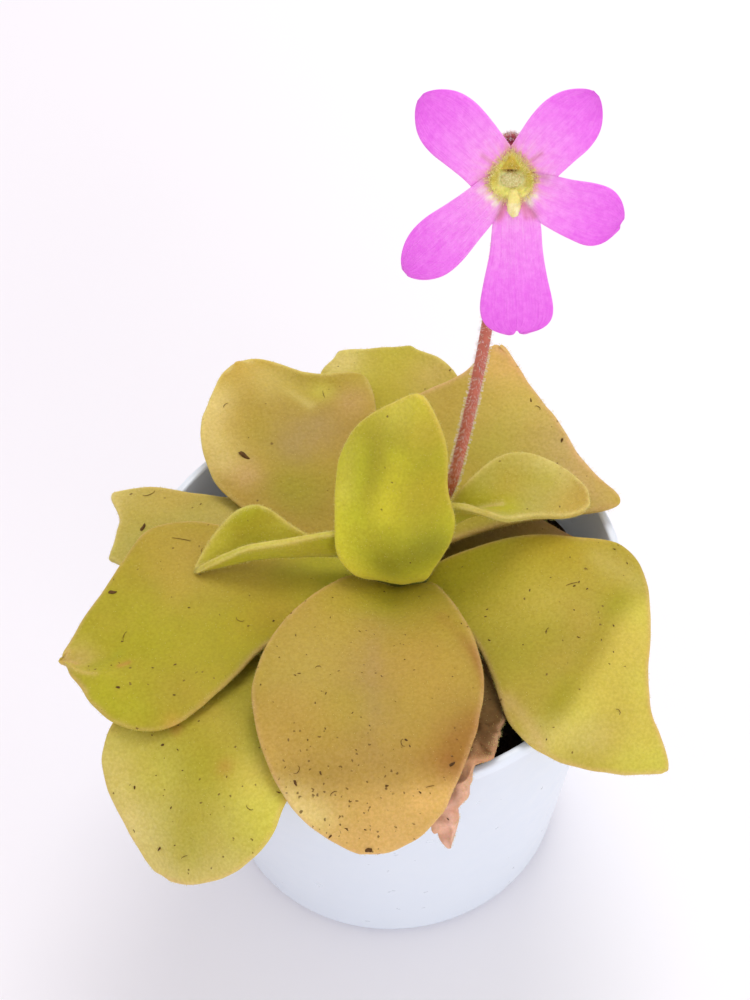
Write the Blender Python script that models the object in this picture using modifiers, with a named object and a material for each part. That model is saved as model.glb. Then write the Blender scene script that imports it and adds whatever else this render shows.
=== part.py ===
"""Potted butterwort: a rosette of thin fleshy leaves and one flower on its stalk, in a small white pot.

Run in Blender 4.5. Driving dimensions are in millimetres and degrees; the model is in metres, +Z up, and
-Y is its front. The origin is on the pot's axis, in the plane that the pot stands on."""

import math
from dataclasses import dataclass

import bmesh
import bpy
import numpy as np
from mathutils import Matrix, Vector

MM = 0.001
GAP = 0.3

# Pot
POT_RIM_RADIUS = 37.5
POT_WALL_RADIUS = 37.1
POT_BASE_RADIUS = 27.6
POT_HEIGHT = 60.0
POT_WALL = 1.0
POT_LIP = 1.4
POT_LIP_HEIGHT = 1.8
POT_LIP_ROUND = 0.6
POT_FLOOR = 1.4
POT_BASE_ROUND = 2.4
POT_SIDES = 40
DRAIN_HOLES = 6
DRAIN_RADIUS = 2.6
DRAIN_CIRCLE = 17.0
DRAIN_SIDES = 12

# Soil
SOIL_LEVEL = 50.0
SOIL_RINGS = 7
SOIL_FLAT = 1.0
SOIL_LUMP = 0.5
SOIL_WAVES = ((1.0, 0.5, 0.35, 0.8), (0.8, 0.45, -0.5, 1.2), (0.6, 0.9, -1.1, 2.0))
SOIL_RISE = 2.0
SOIL_RISE_SPREAD = 14.0

# Crown: the short stem in the middle of the rosette
CROWN_X, CROWN_Y = 3.5, 3.0
CROWN_RADIUS = 4.2
CROWN_BOTTOM = 40.0
CROWN_TOP = 64.0
CROWN_SIDES = 20
CROWN_SHAPE = ((0.4, 0.4), (0.72, 2.0), (0.92, 4.0), (1.0, 6.5), (1.0, 10.0), (0.75, 16.0), (0.45, 23.4))
CROWN_HOLE_SIDES = 16
CROWN_HOLE_RISE = 10.0

# Leaves
LEAF_THICKNESS = 1.1
LEAF_ROOT_GAP = 0.5
LEAF_ROWS, LEAF_COLUMNS = 14, 10
ROW_CROWDING = 1.35
POINT_GROWTH = 3
MIDRIB_STEPS = 200
SMOOTH_ANGLE = 40.0
BLADE_SMOOTH_ANGLE = 60.0

# Flower, in its own axes: X to its right, Y up it, Z out of its face
FLOWER_CENTRE = (21.0, 9.0, 130.0)
FLOWER_LIFT = 34.0
FLOWER_TURN = -4.0
FLOWER_ROLL = -2.0
THROAT_PROFILE = (
    (0, -4.0), (1.36, -3.7), (1.7, -2.8), (2.1, -0.7), (2.6, 0.1), (3.2, -0.2), (2.4, -3.0), (1.36, -4.7),
    (0, -4.7),
)
THROAT_SIDES = 20
PETAL_ROOT = 2.3
PETAL_THICKNESS = 0.7
PETAL_ROWS, PETAL_COLUMNS = 8, 4
TONGUE_CENTRE = (0.2, -3.8, 0.3)
TONGUE_SIZE = (1.2, 2.0, 0.7)
SPUR_START = (0, -0.5, -4.0)
SPUR_REACH = (0.3, -9.0, -7.2)
SPUR_CURVE = 1.5
SPUR_RADIUS = 1.1
SPUR_TAPER = 0.55
SPUR_STEPS = 8
BALL_SIDES, BALL_RINGS = 10, 6
OVARY_CENTRE, OVARY_SIZE = (0, 0, -2.85), (0.75, 0.75, 0.8)
STYLE_CENTRE, STYLE_SIZE = (0, 0, -2.0), (0.4, 0.4, 1.4)
STIGMA_CENTRE, STIGMA_SIZE = (0, -0.4, -0.6), (1.7, 1.15, 0.4)
STAMEN_SIDE = 1.15
STAMEN_PATH = ((0.5, -2.9), (0.57, -2.4), (0.64, -1.85), (0.7, -1.4))
STAMEN_RADII = (0.3, 0.3, 0.32, 0.42)
CALYX_CENTRE = (0, 4.3, -4.9)
CALYX_SIZE = (1.5, 1.1, 1.3)
CALYX_LOBE = 2.9
CALYX_LOBE_START = 0.4
CALYX_LOBE_WIDTHS = (0.8, 0.9, 0.95, 0.9, 0.7, 0.5)
CALYX_LOBE_SLOPES = (15, 10, 5, 0, 0, 0)
CALYX_LOBE_THICKNESS = 0.6
CALYX_ROWS, CALYX_COLUMNS = 4, 2
CALYX_TIP = 70.0
CALYX_AXIS = (0, 0.6, -0.8)
CALYX_HEADINGS = (4, 67, -59, 134, -127)

# Scape: the flower stalk, thicker at its foot
SCAPE_RADIUS = 1.0
SCAPE_TAPER = 0.15
SCAPE_STEPS = 24
SCAPE_KNOTS = (
    (6.3, 6.3, 61.9), (11.5, 8.6, 69.0), (13.8, 8.4, 80.0), (16.0, 9.4, 91.0), (18.0, 11.0, 102.5),
    (19.8, 13.6, 115.0),
)
SCAPE_END_LEAD = (-0.3, 0.6, -8.2)
SCAPE_END = (0, 3.8, -6.4)

# Colour and roughness of each material
MATERIALS = {
    "white_plastic": ((0.86, 0.89, 0.93), 0.35),
    "peat": ((0.02, 0.015, 0.012), 0.95),
    "crown": ((0.35, 0.42, 0.08), 0.6),
    "leaf_green": ((0.55, 0.56, 0.08), 0.5),
    "leaf_ochre": ((0.62, 0.45, 0.10), 0.5),
    "petal": ((0.80, 0.25, 0.85), 0.5),
    "stigma": ((0.55, 0.55, 0.30), 0.6),
    "stamen": ((0.75, 0.65, 0.35), 0.6),
    "calyx": ((0.25, 0.06, 0.05), 0.6),
    "scape": ((0.42, 0.20, 0.15), 0.6),
}


@dataclass
class Leaf:
    """One leaf, lofted along its midrib. Its tuples are read at six even stations from root to tip.

    slope is the midrib's rise above level and bend its turn from the heading; left and right are the half
    widths; lift is the angle at which each half rises from the midrib. A higher blunt makes a squarer end,
    and tip is the square of the end's share of the full width.
    A corner (station, side, reach, spread) widens one half.
    A point (across, reach, spread) draws out the end.
    A wave (side, height, count, start) ripples one margin.
    A fold (station, across, height, length, width) raises or sinks a part of the blade."""

    heading: float
    root_height: float
    length: float
    slope: tuple
    left: tuple
    right: tuple
    lift_left: tuple = (0, 0, 0, 0, 0, 0)
    lift_right: tuple = (0, 0, 0, 0, 0, 0)
    bend: tuple = (0, 0, 0, 0, 0, 0)
    blunt: float = 5.0
    tip: float = 0.02
    corners: tuple = ()
    points: tuple = ()
    waves: tuple = ()
    folds: tuple = ()
    ochre: bool = False


LEAVES = {
    "leaf_front": Leaf(
        heading=259, root_height=59.5, length=49.3,
        slope=(24, 17, 7, 0, -38, -68),
        left=(6, 11.5, 15.5, 15.2, 13.5, 12.5), right=(7, 13, 17.8, 17.5, 15.2, 12),
        lift_left=(15, 12, 3, -1, -5, -6), lift_right=(15, 12, 3, -1, -5, -6),
        bend=(0, 0, 2, 4, 5, 6), blunt=6, ochre=True,
        waves=(("left", 0.7, 1.5, 0.1), ("right", 0.6, 1.2, 0.25)),
    ),
    "leaf_front_left": Leaf(
        heading=226, root_height=53.3, length=60,
        slope=(15, 14, 12.5, 2, -42, -62),
        left=(3, 8, 11.5, 13.5, 15.2, 13.5), right=(3, 8, 12, 14.5, 15, 7.5),
        bend=(0, 0, 2, 5, 8, 10), blunt=10,
        waves=(("left", 0.6, 2.0, 0.35), ("right", 0.7, 1.6, 0.0)),
    ),
    "leaf_left": Leaf(
        heading=197, root_height=58.4, length=48.5,
        slope=(14, 10, 9, 4, -3, -7),
        left=(3.5, 7, 8.5, 14.4, 19.3, 20), right=(3.5, 10, 16.5, 19, 12, 4), blunt=7,
        lift_left=(0, 0, 0, -1, -4, -6),
        points=((-0.1, 1.0, 0.25),),
        folds=((0.92, 0.42, 1.4, 0.14, 0.2), (0.92, 0.12, -1.1, 0.14, 0.14)),
    ),
    "leaf_left_lower": Leaf(
        heading=164, root_height=55.6, length=40.3,
        slope=(16, 14, 11.5, 6, -3, -5),
        left=(3, 7, 10.5, 11.5, 11, 10), right=(3, 6.5, 8, 7.5, 7, 6.5), blunt=22, tip=0.7,
        points=((-0.9, 3.5, 0.7),),
        waves=(("right", 0.5, 2.5, 0.0), ("left", 0.4, 1.5, 0.1)),
    ),
    "leaf_front_right": Leaf(
        heading=320, root_height=58.0, length=49.8,
        slope=(14, 12, 8, -6, -33, -41),
        left=(4, 12.5, 16.5, 14, 3.5, 1.5), right=(4, 4.5, 10, 16, 13.5, 6.5),
        lift_left=(20, 18, 12, 4, 0, 0), lift_right=(0, 0, 0, -2, -8, -8),
        bend=(0, 0, -2, -7, -14, -19), blunt=12,
        corners=((0.49, "left", 5, 0.06),),
    ),
    "leaf_back_left": Leaf(
        heading=121, root_height=57.4, length=42,
        slope=(18, 17, 14, 10, 6, 2),
        left=(3, 9, 14, 16, 14, 8.5), right=(3, 7, 11, 14.5, 8.5, 6), blunt=8,
        corners=((0.69, "right", 4, 0.06),), ochre=True,
        folds=((0.76, -0.55, -1.8, 0.12, 0.3), (0.85, 0.1, 0.8, 0.2, 0.3), (0.58, -0.9, 1.2, 0.1, 0.3)),
        waves=(("left", 0.8, 1.2, 0.3),),
    ),
    "leaf_back": Leaf(
        heading=90, root_height=53.9, length=39.5,
        slope=(20, 18, 14, 10, 8, 6),
        left=(3, 7, 10, 11, 11, 12), right=(3, 7, 10, 12, 12.5, 8), blunt=20, tip=0.4,
        waves=(("left", 0.6, 1.5, 0.45), ("right", 0.8, 1.5, 0.0)),
    ),
    "leaf_back_right": Leaf(
        heading=62, root_height=59.0, length=38.6,
        slope=(14, 12, 12, 12, 12, 12),
        left=(2.5, 5, 8, 11, 4.5, 3), right=(3, 12, 23.5, 18.5, 9.5, 3), blunt=16,
        bend=(0, 0, 0, 1, 2, 3), corners=((0.46, "right", 6.5, 0.07),),
        waves=(("right", 0.8, 3.0, 0.2), ("left", 0.8, 1.5, 0.4)),
        folds=((0.55, 0.1, 0.9, 0.3, 0.2),), ochre=True,
    ),
    "leaf_right_lower": Leaf(
        heading=5, root_height=55.0, length=25,
        slope=(10, 8, 4, 2, 0, 0),
        left=(3, 6, 8, 9, 8, 5), right=(3, 6, 8, 9, 8, 5), ochre=True,
        waves=(("left", 0.7, 2.0, 0.0), ("right", 0.7, 2.2, 0.4)),
    ),
    "leaf_withered": Leaf(
        heading=281, root_height=55.8, length=48,
        slope=(11, 11, 15, 15, -40, -82),
        left=(2.5, 6, 8.2, 7.5, 2, 1.5), right=(2.5, 5, 7, 8, 7, 5),
        lift_left=(0, 0, -8, -12, 0, 0),
        bend=(0, 0, 0, -8, -25, -35), ochre=True,
    ),
    "leaf_young_right": Leaf(
        heading=7, root_height=61.9, length=28,
        slope=(35, 50, 14, -3, -6, -6), bend=(0, 0, -1, -3, -5, -6),
        left=(1, 1.3, 5.2, 8.5, 9, 7.5), right=(2.5, 8.3, 8, 3.5, 3.5, 5),
        lift_left=(25, 28, 28, 24, 20, 15), lift_right=(90, 88, 60, 10, 0, 0),
    ),
    "leaf_young_left": Leaf(
        heading=183, root_height=61.2, length=28,
        slope=(28, 18, 8, -1, -6, -9),
        left=(6, 6.8, 5, 4.2, 3.6, 2.2), right=(1.5, 1.8, 3.5, 8.5, 7.5, 4),
        lift_left=(75, 82, 85, 82, 78, 70), lift_right=(30, 30, 40, 42, 40, 30),
    ),
    "leaf_heart": Leaf(
        heading=268, root_height=60.9, length=36.8,
        slope=(18, 92, 114, 118, 120, 118),
        left=(2.5, 5.5, 9, 6.8, 5.8, 3), right=(3, 8.5, 11, 13, 10, 3),
        lift_left=(10, 15, 25, 27, 25, 20), lift_right=(10, 12, 20, 24, 20, 20),
        bend=(0, -4, -12, -20, -26, -28), blunt=9,
    ),
}


PETALS = {
    "petal_upper_left": Leaf(
        heading=139.5, root_height=-0.5, length=12.6,
        slope=(30, 8, 0, -4, -6, -4),
        left=(4.4, 4.2, 4.4, 4.8, 4.9, 4.2), right=(2.8, 3.4, 4.0, 4.5, 4.6, 4.0),
        blunt=3.6,
    ),
    "petal_upper_right": Leaf(
        heading=46.5, root_height=-0.5, length=12.4,
        slope=(30, 8, 0, -4, -6, -4),
        left=(2.8, 3.4, 4.0, 4.5, 4.6, 4.0), right=(4.1, 4.1, 4.2, 4.6, 4.7, 4.0),
        blunt=3.6,
    ),
    "petal_right": Leaf(
        heading=-22, root_height=-0.5, length=13.2,
        slope=(30, 8, 2, -3, -6, -8),
        left=(1.8, 2.3, 2.8, 3.5, 3.9, 3.6), right=(2.3, 3.7, 4.2, 4.5, 4.8, 4.6),
    ),
    "petal_lower": Leaf(
        heading=-87, root_height=-0.5, length=18.2,
        slope=(25, 6, 2, 0, -3, -6),
        left=(2.6, 3.5, 3.7, 4.2, 5.0, 5.7), right=(2.0, 2.7, 3.2, 4.1, 4.9, 5.3),
        blunt=12, points=((-0.1, -0.6, 0.3),),
    ),
    "petal_lower_left": Leaf(
        heading=222, root_height=-0.5, length=16.3,
        slope=(30, 8, 2, -2, -5, -8),
        left=(2.0, 2.7, 3.3, 4.1, 4.7, 4.6), right=(2.4, 2.7, 3.2, 3.9, 4.2, 3.8), blunt=3.8,
    ),
}


def clear_scene():
    for obj in list(bpy.data.objects):
        bpy.data.objects.remove(obj, do_unlink=True)


def new_collection(name):
    collection = bpy.data.collections.new(name)
    bpy.context.scene.collection.children.link(collection)
    return collection


def new_material(name):
    colour, roughness = MATERIALS[name]
    material = bpy.data.materials.new(name)
    material.use_nodes = True
    shader = material.node_tree.nodes["Principled BSDF"]
    shader.inputs["Base Color"].default_value = (*colour, 1.0)
    shader.inputs["Roughness"].default_value = roughness
    shader.inputs["Metallic"].default_value = 0.0
    return material


def new_object(name, mesh, collection, material=None):
    obj = bpy.data.objects.new(name, mesh)
    collection.objects.link(obj)
    if material:
        mesh.materials.append(material)
    return obj


def new_cutter(name, mesh, collection):
    cutter = new_object(name, mesh, collection)
    cutter.hide_render = True
    cutter.display_type = "WIRE"
    return cutter


def apply_modifiers(obj):
    """Makes the object's modifiers part of its mesh."""
    bpy.context.view_layer.update()
    graph = bpy.context.evaluated_depsgraph_get()
    obj.data = bpy.data.meshes.new_from_object(obj.evaluated_get(graph))
    obj.modifiers.clear()


def turned(name, profile, sides, collection, material):
    """A solid turned about Z. The profile, in mm, starts and ends on the axis and runs down its outside."""
    mesh = bpy.data.meshes.new(name)
    points = [(radius * MM, 0, height * MM) for radius, height in profile]
    mesh.from_pydata(points, [(i, i + 1) for i in range(len(points) - 1)], [])
    obj = new_object(name, mesh, collection, material)
    screw = obj.modifiers.new("turn", "SCREW")
    screw.steps = screw.render_steps = sides
    screw.use_merge_vertices = True
    screw.merge_threshold = 0.00001
    return obj


def tube(name, points, radii, collection, material):
    """A round tube in mm along points, with a radius at each, as a mesh whose caps are welded."""
    curve = bpy.data.curves.new(name, "CURVE")
    curve.dimensions = "3D"
    curve.bevel_depth = MM
    curve.bevel_resolution = 2
    curve.use_fill_caps = True
    spline = curve.splines.new("POLY")
    spline.points.add(len(points) - 1)
    for place, point, radius in zip(spline.points, points, radii, strict=True):
        place.co = (*(Vector(point) * MM), 1)
        place.radius = radius
    guide = new_object(name + "_guide", curve, collection)
    bpy.context.view_layer.update()
    mesh = bpy.data.meshes.new_from_object(guide.evaluated_get(bpy.context.evaluated_depsgraph_get()))
    bpy.data.objects.remove(guide)
    work = bmesh.new()
    work.from_mesh(mesh)
    bmesh.ops.remove_doubles(work, verts=work.verts[:], dist=0.00001)
    work.to_mesh(mesh)
    work.free()
    return new_object(name, mesh, collection, material)


def ball(name, centre, size, collection):
    """An ellipsoid of the given half sizes, in mm."""
    mesh = bpy.data.meshes.new(name)
    work = bmesh.new()
    bmesh.ops.create_uvsphere(work, u_segments=BALL_SIDES, v_segments=BALL_RINGS, radius=1)
    matrix = Matrix.Translation(Vector(centre) * MM) @ Matrix.Diagonal((*(Vector(size) * MM), 1))
    bmesh.ops.transform(work, matrix=matrix, verts=work.verts[:])
    work.to_mesh(mesh)
    work.free()
    return new_object(name, mesh, collection)


def union(body, pieces):
    """Joins the pieces to the body by Booleans, applies them and removes the pieces."""
    for piece in pieces:
        join = body.modifiers.new("join", "BOOLEAN")
        join.operation = "UNION"
        join.object = piece
        join.solver = "MANIFOLD"
    apply_modifiers(body)
    for piece in pieces:
        bpy.data.objects.remove(piece)


def smooth_shade(obj, angle=SMOOTH_ANGLE):
    obj.data.shade_smooth()
    obj.data.set_sharp_from_angle(angle=math.radians(angle))


def at_stations(values, along):
    """A smooth curve through evenly spaced values, read at each place in along, from 0 to 1."""
    values = np.asarray(values, float)
    padded = np.concatenate([[2 * values[0] - values[1]], values, [2 * values[-1] - values[-2]]])
    place = np.clip(np.asarray(along, float), 0, 1) * (len(values) - 1)
    start = np.minimum(place.astype(int), len(values) - 2)
    t = place - start
    before, here, after, beyond = (padded[start + k] for k in range(4))
    slope_here = (after - before) / 2
    slope_after = (beyond - here) / 2
    return (
        here * (2 * t**3 - 3 * t**2 + 1)
        + slope_here * (t**3 - 2 * t**2 + t)
        + after * (3 * t**2 - 2 * t**3)
        + slope_after * (t**3 - t**2)
    )


def directions(slope, heading):
    """Unit vectors forward, sideways and upward along a path of the given slopes and headings."""
    level = np.cos(slope)
    forward = np.stack([level * np.cos(heading), level * np.sin(heading), np.sin(slope)], axis=1)
    sideways = np.stack([-np.sin(heading), np.cos(heading), np.zeros_like(heading)], axis=1)
    return forward, sideways, np.cross(forward, sideways)


def midrib(leaf, along):
    """Points of the midrib, and its forward, sideways and upward directions there."""
    fine = np.linspace(0, 1, MIDRIB_STEPS + 1)
    slope = np.radians(at_stations(leaf.slope, fine))
    heading = np.radians(leaf.heading + at_stations(leaf.bend, fine))
    forward = directions(slope, heading)[0]
    steps = (forward[1:] + forward[:-1]) / 2 * leaf.length / MIDRIB_STEPS
    path = np.concatenate([np.zeros((1, 3)), np.cumsum(steps, axis=0)])
    points = np.stack([np.interp(along, fine, path[:, k]) for k in range(3)], axis=1)
    return points, *directions(np.interp(along, fine, slope), np.interp(along, fine, heading))


def near(place, centre, spread):
    return math.exp(-(((place - centre) / spread) ** 2))


def relief(leaf, place, v):
    """How far the blade stands above its plain surface: the ripples of its margins, and its folds."""
    side = "left" if v > 0 else "right"
    ripple = sum(
        height * math.sin(math.tau * (count * place + start))
        for which, height, count, start in leaf.waves
        if which == side
    )
    folds = sum(
        height * near(place, station, length) * near(v, across, width)
        for station, across, height, length, width in leaf.folds
    )
    return ripple * v * v * place + folds


def leaf_grid(leaf, rows, columns):
    """The leaf's middle surface as a grid of points in mm, with its root at the origin."""
    along = 1 - (1 - np.linspace(0, 1, rows + 1)) ** ROW_CROWDING
    across = np.linspace(-1, 1, columns + 1)
    points, forward, sideways, upward = midrib(leaf, along)
    rounding = np.sqrt(np.maximum(1 - along**leaf.blunt, leaf.tip))
    grid = np.empty((rows + 1, columns + 1, 3))
    for i, place in enumerate(along):
        for j, v in enumerate(across):
            side, sign = ("left", 1) if v > 0 else ("right", -1)
            width = at_stations(getattr(leaf, side), place) * rounding[i]
            for station, which, reach, spread in leaf.corners:
                if which == side:
                    width += reach * near(place, station, spread)
            lift = math.radians(at_stations(getattr(leaf, f"lift_{side}"), place))
            out = sideways[i] * sign * math.cos(lift) + upward[i] * math.sin(lift)
            ahead = sum(reach * near(v, centre, spread) for centre, reach, spread in leaf.points)
            ahead *= place**POINT_GROWTH
            raised = upward[i] * relief(leaf, place, v)
            grid[i, j] = points[i] + out * width * abs(v) + forward[i] * ahead + raised
    return grid


def blade(name, grid, thickness, collection, material):
    """A grid of points made a thin closed blade: a bent grid, split into triangles, with Solidify."""
    rows, columns = grid.shape[0] - 1, grid.shape[1] - 1
    mesh = bpy.data.meshes.new(name)
    work = bmesh.new()
    bmesh.ops.create_grid(work, x_segments=columns, y_segments=rows, size=0.5)
    for vert in work.verts:
        column = round((vert.co.x + 0.5) * columns)
        row = round((vert.co.y + 0.5) * rows)
        vert.co = Vector(grid[row, columns - column] * MM)
    bmesh.ops.triangulate(work, faces=work.faces[:])
    work.to_mesh(mesh)
    work.free()
    obj = new_object(name, mesh, collection, material)
    solidify = obj.modifiers.new("thickness", "SOLIDIFY")
    solidify.thickness = thickness * MM
    solidify.offset = 0
    return obj


def wall_radius(height):
    """The pot wall's outer radius at a height."""
    return POT_BASE_RADIUS + (POT_WALL_RADIUS - POT_BASE_RADIUS) * height / POT_HEIGHT


def arc(centre, radius, start, end, count):
    """Points of an arc in the profile's plane, from one angle to another in degrees."""
    angles = np.radians(np.linspace(start, end, count))
    return [(centre[0] + radius * math.cos(a), centre[1] + radius * math.sin(a)) for a in angles]


def build_pot(parts, cutters, material):
    lip_foot = POT_HEIGHT - POT_LIP_HEIGHT
    inner_floor = wall_radius(POT_FLOOR) - POT_WALL
    profile = [
        (0, POT_FLOOR),
        *arc((inner_floor - POT_BASE_ROUND, POT_FLOOR + POT_BASE_ROUND), POT_BASE_ROUND, -90, 0, 3),
        (wall_radius(lip_foot) - POT_WALL, lip_foot),
        (POT_RIM_RADIUS - POT_LIP, POT_HEIGHT - POT_LIP_ROUND),
        *arc((POT_RIM_RADIUS - POT_LIP / 2, POT_HEIGHT - POT_LIP_ROUND), POT_LIP_ROUND, 120, 0, 4),
        (POT_RIM_RADIUS, lip_foot + POT_LIP_ROUND / 2),
        (wall_radius(lip_foot), lip_foot),
        *arc((wall_radius(POT_BASE_ROUND) - POT_BASE_ROUND, POT_BASE_ROUND), POT_BASE_ROUND, 0, -90, 4),
        (0, 0),
    ]
    pot = turned("pot", profile, POT_SIDES, parts, material)
    for i in range(DRAIN_HOLES):
        angle = 2 * math.pi * i / DRAIN_HOLES
        mesh = bpy.data.meshes.new("drain_hole")
        work = bmesh.new()
        bmesh.ops.create_cone(
            work, cap_ends=True, segments=DRAIN_SIDES, radius1=DRAIN_RADIUS * MM, radius2=DRAIN_RADIUS * MM,
            depth=4 * POT_FLOOR * MM,
        )
        work.to_mesh(mesh)
        work.free()
        hole = new_cutter(f"drain_hole_{i}", mesh, cutters)
        hole.location = (DRAIN_CIRCLE * MM * math.cos(angle), DRAIN_CIRCLE * MM * math.sin(angle), 0)
        cut = pot.modifiers.new(f"drain_{i}", "BOOLEAN")
        cut.object = hole
    smooth_shade(pot)


def crown_profile():
    shoulder = [(CROWN_RADIUS * share, CROWN_TOP - depth) for share, depth in CROWN_SHAPE]
    return [(0, CROWN_TOP), *shoulder, (0, CROWN_BOTTOM)]


def crown_radius(height):
    radii, heights = zip(*reversed(crown_profile()), strict=True)
    return float(np.interp(height, heights, radii))


def build_crown(parts, material):
    crown = turned("crown", crown_profile(), CROWN_SIDES, parts, material)
    crown.location = (CROWN_X * MM, CROWN_Y * MM, 0)
    smooth_shade(crown)


def soil_height(x, y):
    """The uneven top of the soil: low lumps, and a slight rise towards the crown."""
    lumps = sum(share * math.sin(by_x * x + by_y * y + start) for share, by_x, by_y, start in SOIL_WAVES)
    rise = near(math.hypot(x - CROWN_X, y - CROWN_Y), 0, SOIL_RISE_SPREAD)
    return SOIL_LEVEL + SOIL_LUMP * lumps + SOIL_RISE * rise


def build_soil(parts, cutters, material):
    floor = POT_FLOOR + GAP
    side = wall_radius(POT_FLOOR) - POT_WALL - GAP
    foot = side - POT_BASE_ROUND
    edge = wall_radius(SOIL_LEVEL) - POT_WALL - 2 * GAP
    rings = [(edge * i / SOIL_RINGS, SOIL_LEVEL) for i in range(SOIL_RINGS + 1)]
    profile = [*rings, (side, floor + POT_BASE_ROUND), (foot, floor), (0, floor)]
    soil = turned("soil", profile, POT_SIDES, parts, material)
    apply_modifiers(soil)
    for vert in soil.data.vertices:
        x, y, z = vert.co / MM
        if z > SOIL_LEVEL - SOIL_FLAT and math.hypot(x, y) < edge - SOIL_FLAT:
            vert.co.z = soil_height(x, y) * MM
    mesh = bpy.data.meshes.new("crown_hole")
    work = bmesh.new()
    depth = SOIL_LEVEL + CROWN_HOLE_RISE - (CROWN_BOTTOM - GAP)
    radius = (CROWN_RADIUS + GAP) * MM
    bmesh.ops.create_cone(
        work, cap_ends=True, segments=CROWN_HOLE_SIDES, radius1=radius, radius2=radius, depth=depth * MM
    )
    work.to_mesh(mesh)
    work.free()
    hole = new_cutter("crown_hole", mesh, cutters)
    hole.location = (CROWN_X * MM, CROWN_Y * MM, (CROWN_BOTTOM - GAP + depth / 2) * MM)
    cut = soil.modifiers.new("crown_hole", "BOOLEAN")
    cut.object = hole
    smooth_shade(soil)


def build_leaf(name, leaf, parts, material):
    angle = math.radians(leaf.heading)
    radius = crown_radius(leaf.root_height) + LEAF_ROOT_GAP
    root = (CROWN_X + radius * math.cos(angle), CROWN_Y + radius * math.sin(angle), leaf.root_height)
    grid = leaf_grid(leaf, LEAF_ROWS, LEAF_COLUMNS) + np.array(root)
    obj = blade(name, grid, LEAF_THICKNESS, parts, material)
    smooth_shade(obj, BLADE_SMOOTH_ANGLE)


def flower_frame():
    """From the flower's own axes, X to its right, Y up it and Z out of its face, to the model's."""
    lift, turn = math.radians(FLOWER_LIFT), math.radians(FLOWER_TURN)
    face = Vector((math.sin(turn) * math.cos(lift), -math.cos(turn) * math.cos(lift), math.sin(lift)))
    right = Vector((math.cos(turn), math.sin(turn), 0))
    axes = Matrix((right, face.cross(right), face)).transposed().to_4x4()
    roll = Matrix.Rotation(math.radians(FLOWER_ROLL), 4, "Z")
    return Matrix.Translation(Vector(FLOWER_CENTRE) * MM) @ axes @ roll


def build_corolla(parts, material):
    corolla = turned("corolla", THROAT_PROFILE, THROAT_SIDES, parts, material)
    apply_modifiers(corolla)
    pieces = []
    for name, petal in PETALS.items():
        angle = math.radians(petal.heading)
        root = (PETAL_ROOT * math.cos(angle), PETAL_ROOT * math.sin(angle), petal.root_height)
        grid = leaf_grid(petal, PETAL_ROWS, PETAL_COLUMNS) + np.array(root)
        piece = blade(name, grid, PETAL_THICKNESS, parts, None)
        apply_modifiers(piece)
        pieces.append(piece)
    turns = np.linspace(0, 1, SPUR_STEPS + 1)
    path = [Vector(SPUR_START) + Vector((t, t**SPUR_CURVE, t)) * Vector(SPUR_REACH) for t in turns]
    pieces.append(tube("spur", path, SPUR_RADIUS * (1 - SPUR_TAPER * turns), parts, None))
    pieces.append(ball("tongue", TONGUE_CENTRE, TONGUE_SIZE, parts))
    union(corolla, pieces)
    corolla.data.transform(flower_frame())
    smooth_shade(corolla, BLADE_SMOOTH_ANGLE)


def build_pistil(parts, material):
    pistil = ball("pistil", OVARY_CENTRE, OVARY_SIZE, parts)
    pistil.data.materials.append(material)
    style = ball("style", STYLE_CENTRE, STYLE_SIZE, parts)
    stigma = ball("stigma", STIGMA_CENTRE, STIGMA_SIZE, parts)
    union(pistil, [style, stigma])
    pistil.data.transform(flower_frame())
    smooth_shade(pistil)


def build_stamens(parts, material):
    for name, side in (("stamen_left", -STAMEN_SIDE), ("stamen_right", STAMEN_SIDE)):
        path = [(side, up, out) for up, out in STAMEN_PATH]
        stamen = tube(name, path, STAMEN_RADII, parts, material)
        stamen.data.transform(flower_frame())
        smooth_shade(stamen)


def build_calyx(parts, material):
    calyx = ball("calyx", CALYX_CENTRE, CALYX_SIZE, parts)
    calyx.data.materials.append(material)
    sepal = Leaf(
        heading=90, root_height=0, length=CALYX_LOBE,
        slope=CALYX_LOBE_SLOPES, left=CALYX_LOBE_WIDTHS, right=CALYX_LOBE_WIDTHS,
    )
    grid = leaf_grid(sepal, CALYX_ROWS, CALYX_COLUMNS) + np.array([0, CALYX_LOBE_START, 0])
    lobes = []
    for i, heading in enumerate(CALYX_HEADINGS):
        piece = blade(f"calyx_lobe_{i}", grid, CALYX_LOBE_THICKNESS, parts, None)
        apply_modifiers(piece)
        tip_forward = Matrix.Rotation(math.radians(CALYX_TIP), 4, "X")
        spread = Matrix.Rotation(math.radians(heading), 4, CALYX_AXIS)
        piece.data.transform(Matrix.Translation(Vector(CALYX_CENTRE) * MM) @ spread @ tip_forward)
        lobes.append(piece)
    union(calyx, lobes)
    calyx.data.transform(flower_frame())
    smooth_shade(calyx)


def build_scape(parts, material):
    """The flower stalk: a smooth curve from the crown's shoulder to the back of the calyx."""
    knots = [Vector(point) for point in SCAPE_KNOTS]
    end = flower_frame() @ (Vector(SCAPE_END) * MM) / MM
    before = flower_frame() @ (Vector(SCAPE_END_LEAD) * MM) / MM
    knots += [before, end]
    along = np.linspace(0, 1, SCAPE_STEPS + 1)
    places = np.array([knot[:] for knot in knots])
    path = np.stack([at_stations(places[:, k], along) for k in range(3)], axis=1)
    radii = SCAPE_RADIUS * (1 - SCAPE_TAPER * along)
    scape = tube("scape", [tuple(point) for point in path], radii, parts, material)
    smooth_shade(scape)


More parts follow.
